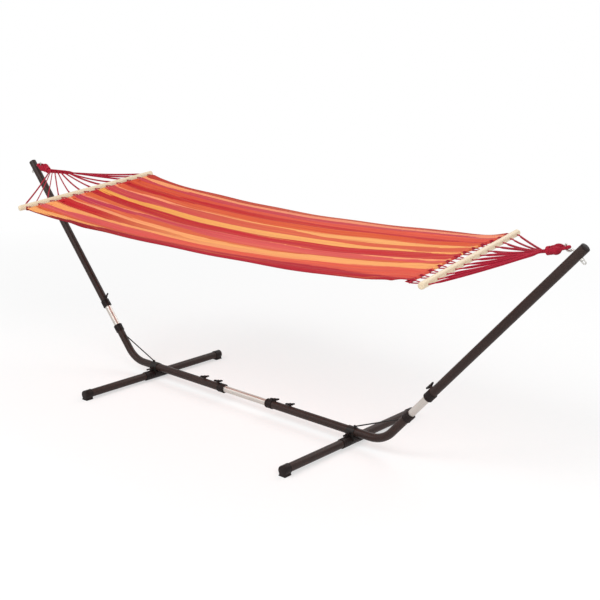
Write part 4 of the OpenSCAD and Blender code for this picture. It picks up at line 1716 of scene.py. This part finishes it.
def put(model: bpy.types.Object, name: str, origin: Vector, axis: Vector, front: Vector) -> bpy.types.Object:
    """Copies a model with its mesh and puts the copy in place.

    Args:
        model: The model, about the origin.
        name: The piece's name.
        origin: Where the model's origin goes.
        axis: Where its Z points.
        front: Where its X points, roughly.

    Returns:
        The piece.
    """
    z = axis.normalized()
    x = (front - z * front.dot(z)).normalized()
    matrix = Matrix((x, z.cross(x), z)).transposed().to_4x4()
    matrix.translation = origin
    mesh = model.data.copy()
    mesh.name = name
    mesh.transform(matrix)
    piece = bpy.data.objects.new(name, mesh)
    bpy.context.scene.collection.objects.link(piece)
    return piece


@dataclass(frozen=True)
class StandFrame:
    """Where the stand's tubes and fittings lie.

    Attributes:
        base_z: Height of the base tube's axis.
        corner: Distance from the middle to where base and arm axes cross.
        angle: Rise of the arms, in radians.
        foot_x: Distance from the middle to each foot.
        foot_z: Height of the foot tubes' axis.
        foot_half: Half a foot's length.
        centre_collar: Distance from the middle to the mouth of the centre tube's collar.
        inner_knob: Distance from the middle to the base tube's inner knob.
        outer_knob: The same for its outer knob.
        elbow_collar: Distance along the arm's axis to the mouth of the lower collar.
        arm_collar: The same for the upper collar.
        arm_knob: The same for the arm's knob.
        seat: Distance from the base tube's axis to the seats of the cross bolt and its nut.
        bolt_drop: Depth of the cross bolt below the base tube's axis.
        bolt_reach: Length of the cross bolt in front of that axis.
        bolt_hole: Radius of the nut's hole for it.
    """

    base_z: float = 0.0643
    corner: float = 0.816
    angle: float = math.radians(49)
    foot_x: float = 0.650
    foot_z: float = 0.026
    foot_half: float = 0.462
    centre_collar: float = 0.140
    inner_knob: float = 0.188
    outer_knob: float = 0.284
    elbow_collar: float = 0.213
    arm_collar: float = 0.330
    arm_knob: float = 0.378
    seat: float = 0.0221
    bolt_drop: float = 0.006
    bolt_reach: float = 0.062
    bolt_hole: float = 0.00408

    def base(self, side: Side, out: float) -> Vector:
        """Returns a point on the base tube's axis."""
        return Vector((side.value * out, 0.0, self.base_z))

    def foot(self, side: Side, rear: float) -> Vector:
        """Returns a point on a foot tube's axis."""
        return Vector((side.value * self.foot_x, rear, self.foot_z))

    def bolt(self, side: Side, rear: float) -> Vector:
        """Returns a point on a cross bolt's axis."""
        return Vector((side.value * self.foot_x, rear, self.base_z - self.bolt_drop))

    def arm(self, side: Side, along: float) -> Vector:
        """Returns a point on an arm's axis."""
        return Vector((side.value * (self.corner + along * math.cos(self.angle)), 0.0,
                       self.base_z + along * math.sin(self.angle)))

    def up_arm(self, side: Side) -> Vector:
        """Returns the direction up an arm."""
        return Vector((side.value * math.cos(self.angle), 0.0, math.sin(self.angle)))

    def into_arm(self, side: Side) -> Vector:
        """Returns the direction square to an arm, on its inner side."""
        return Vector((-side.value * math.sin(self.angle), 0.0, math.cos(self.angle)))


def handle_direction(name: str, origin: Vector, axis: Vector) -> Vector:
    """Finds where a knob's handle points.

    Args:
        name: The knob's node.
        origin: A point on its axis.
        axis: The axis's direction.

    Returns:
        The direction from the axis to the node's farthest point.
    """
    points = Nodes.points(name) - np.array(origin)
    axis = np.array(axis.normalized())
    across = points - (points @ axis)[:, None] * axis
    return Vector(across[np.linalg.norm(across, axis=1).argmax()])


@dataclass(frozen=True)
class ClampKnob:
    """T-shaped clamp knob on a threaded stud: its origin lies on the tube's axis.

    Attributes:
        tip: Where the stud starts.
        base: Where the hub starts.
        hub: The hub's radius.
        height: Height of the handle's axis.
        half: Half the handle's length.
        thick: The handle's radius.
        slim: The handle's radius at the hub.
        stud: The stud's radius.
        flange: Height of the flange under the hub.
        grooves: Distances of the handle's grip rings from the hub's axis.
        web: Size of the web between handle and hub.
        web_turn: The web's slant, in radians.
    """

    tip: float = 0.0163
    base: float = 0.0236
    hub: float = 0.0065
    height: float = 0.0310
    half: float = 0.0225
    thick: float = 0.0042
    slim: float = 0.0032
    stud: float = 0.0040
    flange: float = 0.0024
    grooves: tuple[float, ...] = (0.0095, 0.0125, 0.0155)
    web: Triple = (0.0110, 0.0028, 0.0046)
    web_turn: float = 0.32

    def model(self) -> bpy.types.Object:
        """Models the knob.

        Returns:
            The model: the tube's axis at the origin, the stud along Z and the handle along X.
        """
        shop = Workshop()
        shop.rod(self.hub + 0.0009, self.base, self.base + self.flange, 0.0007)
        shop.rod(self.hub, self.base + 0.002, self.height + self.thick - 0.0006, 0.0012,
                 tip=self.hub - 0.0010)
        shop.rod(self.stud, self.tip, self.base + 0.002, 0.0004, sides=24)
        grip = self.half - self.thick
        for sign in (-1, 1):
            start, end = sorted((sign * 0.003, sign * grip))
            low, high = (self.thick, self.slim) if sign < 0 else (self.slim, self.thick)
            shop.rod(low, start, end, axis="X", at=(0, 0, self.height), tip=high, sides=28)
            shop.ball(self.thick * 1.04, (sign * grip, 0, self.height))
            for place in self.grooves:
                shop.ring(self.thick - 0.0004, 0.0006, sign * place, "X", self.height)
            shop.box(self.web, (sign * 0.0085, 0, self.height - self.web[2]), 0.0008,
                     (0, sign * self.web_turn, 0))
        shop.ball(0.0036, (0, 0, self.height + self.thick - 0.0008), (1, 1, 0.35))
        return shop.finish("clamp_knob")


@dataclass(frozen=True)
class WingHead:
    """Wing nut, or the wing head of a cross bolt: its seat lies at the origin.

    Attributes:
        hub: The hub's radius.
        length: The hub's length.
        reach: Radius over the wings.
        high: Height of the wings' tips.
        tip: Radius of a wing's tip.
        thick: Thickness of a wing.
        web: Size of the web between a wing and the hub.
        web_turn: The web's slant, in radians.
        bore: The bore's radius, or 0.
        shank: Length of the bolt below the seat, or 0.
        core: Radius of the thread's core.
        plain: Radius of the bolt's plain part.
        ridge: Radius of the thread's ridge.
        pitch: Distance between the thread's turns.
        turns: Number of its turns.
    """

    hub: float = 0.0070
    length: float = 0.0102
    reach: float = 0.0119
    high: float = 0.0168
    tip: float = 0.0044
    thick: float = 0.0034
    web: Triple = (0.0052, 0.0032, 0.0088)
    web_turn: float = 0.30
    bore: float = 0.0
    shank: float = 0.0
    core: float = 0.0036
    plain: float = 0.0040
    ridge: float = 0.00052
    pitch: float = 0.00125
    turns: int = 22

    def model(self) -> bpy.types.Object:
        """Models the wing nut or the bolt.

        Returns:
            The model: the seat at the origin, Z out of it and the wings along X.
        """
        shop = Workshop()
        body = shop.rod(self.hub, 0.0, self.length, 0.0010, tip=self.hub - 0.0012)
        if self.bore:
            shop.cut(body, shop.rod(self.bore, -0.001, self.length + 0.001))
        for sign in (-1, 1):
            shop.rod(self.tip, -self.thick / 2, self.thick / 2, 0.0009, "Y",
                     (sign * (self.reach - 0.0046), 0, self.high - 0.0046))
            shop.box(self.web, (sign * 0.0070, 0, 0.0068), 0.0010, (0, sign * self.web_turn, 0))
        if self.shank:
            shop.rod(self.core, -self.shank, 0.001, 0.0004, sides=24)
            thread = shop.ring(0.00345, self.ridge, -self.shank + 0.0008)
            rows = thread.modifiers.new("thread", "ARRAY")
            rows.use_relative_offset, rows.use_constant_offset = False, True
            rows.constant_offset_displace = (0, 0, self.pitch)
            rows.count = self.turns
            bpy.context.view_layer.objects.active = thread
            bpy.ops.object.modifier_apply(modifier=rows.name)
            shop.rod(self.plain, -self.shank + 0.028, 0.001, sides=24)
        return shop.finish("wing_head")


@dataclass(frozen=True)
class Collar:
    """Plastic collar at a tube's end: its mouth at the origin, the tube along +Z.

    Attributes:
        radius: Its outer radius.
        length: Its length.
        lip: Thickness of the lip over the tube's end.
        tube: Radius of its bore for the outer tube.
        inner: Radius of its mouth for the inner tube.
        ribs: Number of grip ribs.
        rib: Depth and width of a rib.
    """

    radius: float = 0.0225
    length: float = 0.038
    lip: float = 0.003
    tube: float = 0.0191
    inner: float = 0.0161
    ribs: int = 20
    rib: tuple[float, float] = (0.0014, 0.0022)

    def model(self) -> bpy.types.Object:
        """Models the collar.

        Returns:
            The model: the mouth at the origin and the tube along Z.
        """
        shop = Workshop()
        body = shop.rod(self.radius - 0.0010, 0.0, self.length, 0.0012, sides=FINE)
        shop.cut(body, shop.rod(self.tube, self.lip, self.length + 0.01, sides=FINE))
        shop.cut(body, shop.rod(self.inner, -0.01, self.length, sides=FINE))
        for low, high in ((0.0016, 0.0092), (self.length - 0.0046, self.length - 0.0006)):
            band = shop.rod(self.radius, low, high, 0.0009, sides=FINE)
            shop.cut(band, shop.rod(self.radius - 0.0020, low - 0.01, high + 0.01, sides=FINE))
        out, middle = self.radius - 0.0011, self.length / 2 + 0.0028
        for number in range(self.ribs):
            turn = number * 2 * math.pi / self.ribs
            shop.box((*self.rib, self.length - 0.0150),
                     (out * math.cos(turn), out * math.sin(turn), middle), 0.0005, (0, 0, turn))
        return shop.finish("collar")


@dataclass(frozen=True)
class FootCap:
    """Cap on a foot's end: its inner rim at the origin, its closed end at +Z, the floor at -X.

    Attributes:
        radius: The sleeve's radius.
        length: Its length.
        height: Height of its axis over the floor.
        sole: Width of the sole.
        bore: Radius of its bore.
        floor: Thickness of its closed end.
        tread: Thickness of the sole.
        mouth: Length of the thicker rim round the mouth.
        ridges: Places of the ridges across the sole.
    """

    radius: float = 0.022
    length: float = 0.042
    height: float = 0.026
    sole: float = 0.036
    bore: float = 0.0191
    floor: float = 0.0078
    tread: float = 0.0040
    mouth: float = 0.0052
    ridges: tuple[float, ...] = (-0.0105, -0.0035, 0.0035, 0.0105)

    def model(self) -> bpy.types.Object:
        """Models the cap.

        Returns:
            The model: the inner rim at the origin, the closed end along Z and the floor at -X.
        """
        shop = Workshop()
        sleeve = shop.rod(self.radius - 0.0006, 0.0, self.length, 0.0048, sides=FINE, segments=5)
        sleeve_tool = shop.rod(self.bore, -0.01, self.length - self.floor, sides=FINE)
        block = shop.box((self.height - 0.0068, self.sole - 0.003, self.length - 0.002),
                         (-(self.height + 0.0032) / 2, 0, self.length / 2 - 0.0004), 0.0024)
        shop.cut(block, shop.rod(self.bore, -0.01, self.length - self.floor, sides=FINE))
        shop.cut(sleeve, sleeve_tool)
        shop.box((self.tread, self.sole, self.length - 0.001),
                 (self.tread / 2 - self.height, 0, self.length / 2), 0.0012)
        rim = shop.rod(self.radius, 0.0, self.mouth, 0.0010, sides=FINE)
        shop.cut(rim, shop.rod(self.bore, -0.01, 0.02, sides=FINE))
        for across in self.ridges:
            shop.box((0.0018, 0.0016, self.length - 0.008),
                     (0.0050 - self.height, across, self.length / 2), 0.0004)
        return shop.finish("foot_cap")


@dataclass(frozen=True)
class CrossHousing:
    """Ribbed housing round a foot tube where it passes under the base tube.

    Its origin lies on the foot tube's axis, the tube along Y.

    Attributes:
        bore: Radius of its bore.
        wall: Radius over the housing.
        rim: Radius over the collars at its ends.
        inner: Where the collars start.
        outer: Where they end.
        base: Height of the base tube's axis over the foot tube's.
        keel: Depth of the keel below the axis.
        step: Distance from the middle to the single ring on each side.
    """

    bore: float = 0.0191
    wall: float = 0.0213
    rim: float = 0.0225
    inner: float = 0.043
    outer: float = 0.078
    base: float = 0.0383
    keel: float = 0.0235
    step: float = 0.034

    def band(self, shop: Workshop, middle: float, half: float, edge: float) -> bpy.types.Object:
        """Returns a new ring round the housing, still solid, by its middle and half its width."""
        return shop.rod(self.rim, middle - half, middle + half, edge, "Y", sides=FINE)

    def model(self) -> bpy.types.Object:
        """Models the housing.

        Returns:
            The model: the foot tube's axis through the origin along Y, Z up.
        """
        shop = Workshop()
        shells = [shop.rod(self.wall, -self.inner - 0.002, self.inner + 0.002, axis="Y", sides=FINE)]
        for sign in (-1, 1):
            low, high = sorted((sign * self.inner, sign * self.outer))
            shells.append(shop.rod(self.rim - 0.0008, low, high, 0.0010, "Y", sides=FINE))
            for place in (self.inner + 0.004, (self.inner + self.outer) / 2, self.outer - 0.004):
                shells.append(self.band(shop, sign * place, 0.0030, 0.0008))
            shells.append(self.band(shop, sign * self.step, 0.0015, 0.0005))
        shells.append(shop.box((0.012, 2 * self.outer - 0.008, 0.010), (0, 0, 0.0052 - self.keel), 0.0014))
        for shell in shells:
            shop.cut(shell, shop.rod(self.bore, -0.09, 0.09, axis="Y", sides=FINE))
        shop.cut(shells[0], shop.rod(self.bore, -0.04, 0.04, axis="X", at=(0, 0, self.base), sides=FINE))
        return shop.finish("cross_housing")


# ---------------------------------------------------------------- stand

PAINTED = ("base_tube", "base_bosses", "arm_tube", "arm_boss", "foot_hub", "front_foot", "rear_foot")
SATIN = ("saddle", "brace")
PLASTIC = ("centre_collar", "elbow_collar", "arm_collar", "arm_cap", "foot_collars", "front_cap", "rear_cap",
           "inner_knob", "outer_knob", "arm_knob", "cross_bolt", "cross_nut")
ZINC = ("hook", "eye_nut")


@dataclass
class Stand:
    """The steel stand's finishes and its plastic fittings.

    Attributes:
        lay: Where its tubes and fittings lie.
        knob: The clamp knobs.
        collar: The collars.
        cap: The foot caps.
        housing: The housings round the foot tubes.
    """

    lay: StandFrame = StandFrame()
    knob: ClampKnob = ClampKnob()
    collar: Collar = Collar()
    cap: FootCap = FootCap()
    housing: CrossHousing = CrossHousing()

    def build(self) -> None:
        """Dresses the stand's nodes and puts the fittings in their places."""
        paint = HammeredPaint().material()
        satin = HammeredPaint(colour=(0.010, 0.0085, 0.008), raised=(0.024, 0.020, 0.018)).material()
        plastic, zinc = MouldedPlastic().material(), ZincPlate().material()
        Nodes.dress("centre_tube", BareSteel("bare_steel_base", (1, 0, 0)).material())
        for side in Side:
            tube = BareSteel(f"bare_steel_{side.label}", tuple(self.lay.up_arm(side)))
            Nodes.dress(f"{side.label}_riser", tube.material())
            for parts, finish in ((PAINTED, paint), (SATIN, satin), (PLASTIC, plastic), (ZINC, zinc)):
                for part in parts:
                    Nodes.dress(f"{side.label}_{part}", finish)
            log.info("dressed the %s end of the stand", side.label)
        models = self.models()
        for side in Side:
            self.turning(side, models, plastic)
            self.fixed(side, models, plastic)
        for model in models.values():
            bpy.data.objects.remove(model)

    def models(self) -> dict[str, bpy.types.Object]:
        """Models each fitting once.

        Returns:
            The models, by kind.
        """
        return {"knob": self.knob.model(),
                "bolt": WingHead(shank=self.lay.bolt_reach + self.lay.seat).model(),
                "nut": WingHead(bore=self.lay.bolt_hole).model(),
                "collar": self.collar.model(),
                "cap": self.cap.model(),
                "housing": self.housing.model()}

    def turning(self, side: Side, models: dict[str, bpy.types.Object], plastic: bpy.types.Material) -> None:
        """Puts one end's knobs, cross bolt and nut in place, turned as their nodes are.

        Args:
            side: The end.
            models: The models, by kind.
            plastic: Their material.
        """
        lay, up, rear = self.lay, Vector((0, 0, 1)), Vector((0, 1, 0))
        for part, kind, origin, axis in (
                ("inner_knob", "knob", lay.base(side, lay.inner_knob), up),
                ("outer_knob", "knob", lay.base(side, lay.outer_knob), up),
                ("arm_knob", "knob", lay.arm(side, lay.arm_knob), lay.into_arm(side)),
                ("cross_bolt", "bolt", lay.bolt(side, lay.seat), rear),
                ("cross_nut", "nut", lay.bolt(side, -lay.seat), -rear)):
            name = f"{side.label}_{part}"
            piece = put(models[kind], f"{name}_moulding", origin, axis, handle_direction(name, origin, axis))
            settle(piece, plastic, name, (name,))

    def fixed(self, side: Side, models: dict[str, bpy.types.Object], plastic: bpy.types.Material) -> None:
        """Puts one end's collars, caps and housing in place.

        Args:
            side: The end.
            models: The models, by kind.
            plastic: Their material.
        """
        lay, up, rear = self.lay, Vector((0, 0, 1)), Vector((0, 1, 0))
        out, up_arm = Vector((side.value, 0, 0)), self.lay.up_arm(side)
        stand, cap_at = f"{side.label}_stand", lay.foot_half - self.cap.length
        for part, body, kind, origin, axis, front in (
                ("centre_collar", stand, "collar", lay.base(side, lay.centre_collar), out, rear),
                ("elbow_collar", stand, "collar", lay.arm(side, lay.elbow_collar), -up_arm, rear),
                ("arm_collar", f"{side.label}_arm", "collar", lay.arm(side, lay.arm_collar), up_arm, rear),
                ("front_cap", stand, "cap", lay.foot(side, -cap_at), -rear, up),
                ("rear_cap", stand, "cap", lay.foot(side, cap_at), rear, up)):
            name = f"{side.label}_{part}"
            piece = put(models[kind], f"{name}_moulding", origin, axis, front)
            settle(piece, plastic, body, (name,))
        piece = put(models["housing"], f"{side.label}_cross_housing", lay.foot(side, 0.0), up,
                    Vector((1, 0, 0)))
        settle(piece, plastic, stand, (f"{side.label}_foot_collars",))


def main() -> None:
    """Builds the whole object, cords first."""
    logging.basicConfig(level=logging.INFO, format="%(name)s: %(message)s")
    studio = Studio()
    studio.camera()
    cord = BraidedCord().material()
    hems = []
    for bar in (LEFT_BAR, RIGHT_BAR):
        rope = RopeEnd(bar.side)
        if bar is LEFT_BAR:
            FanCords(bar, rope, 0.105, True, 9.6, seed=4, thin=0.0021).build(cord)
        else:
            FanCords(bar, rope, 0.012, False, 5.5, seed=6).build(cord)
        rope.eye(cord)
        rope.whipping(cord)
        hems.append(HemRope(bar).build(cord))
    Cloth(LEFT_BAR, RIGHT_BAR).build(StripedCloth().material(), hems)
    for bar in (LEFT_BAR, RIGHT_BAR):
        bar.dress()
    Stand().build()
    studio.build()


if __name__ == "__main__":
    main()
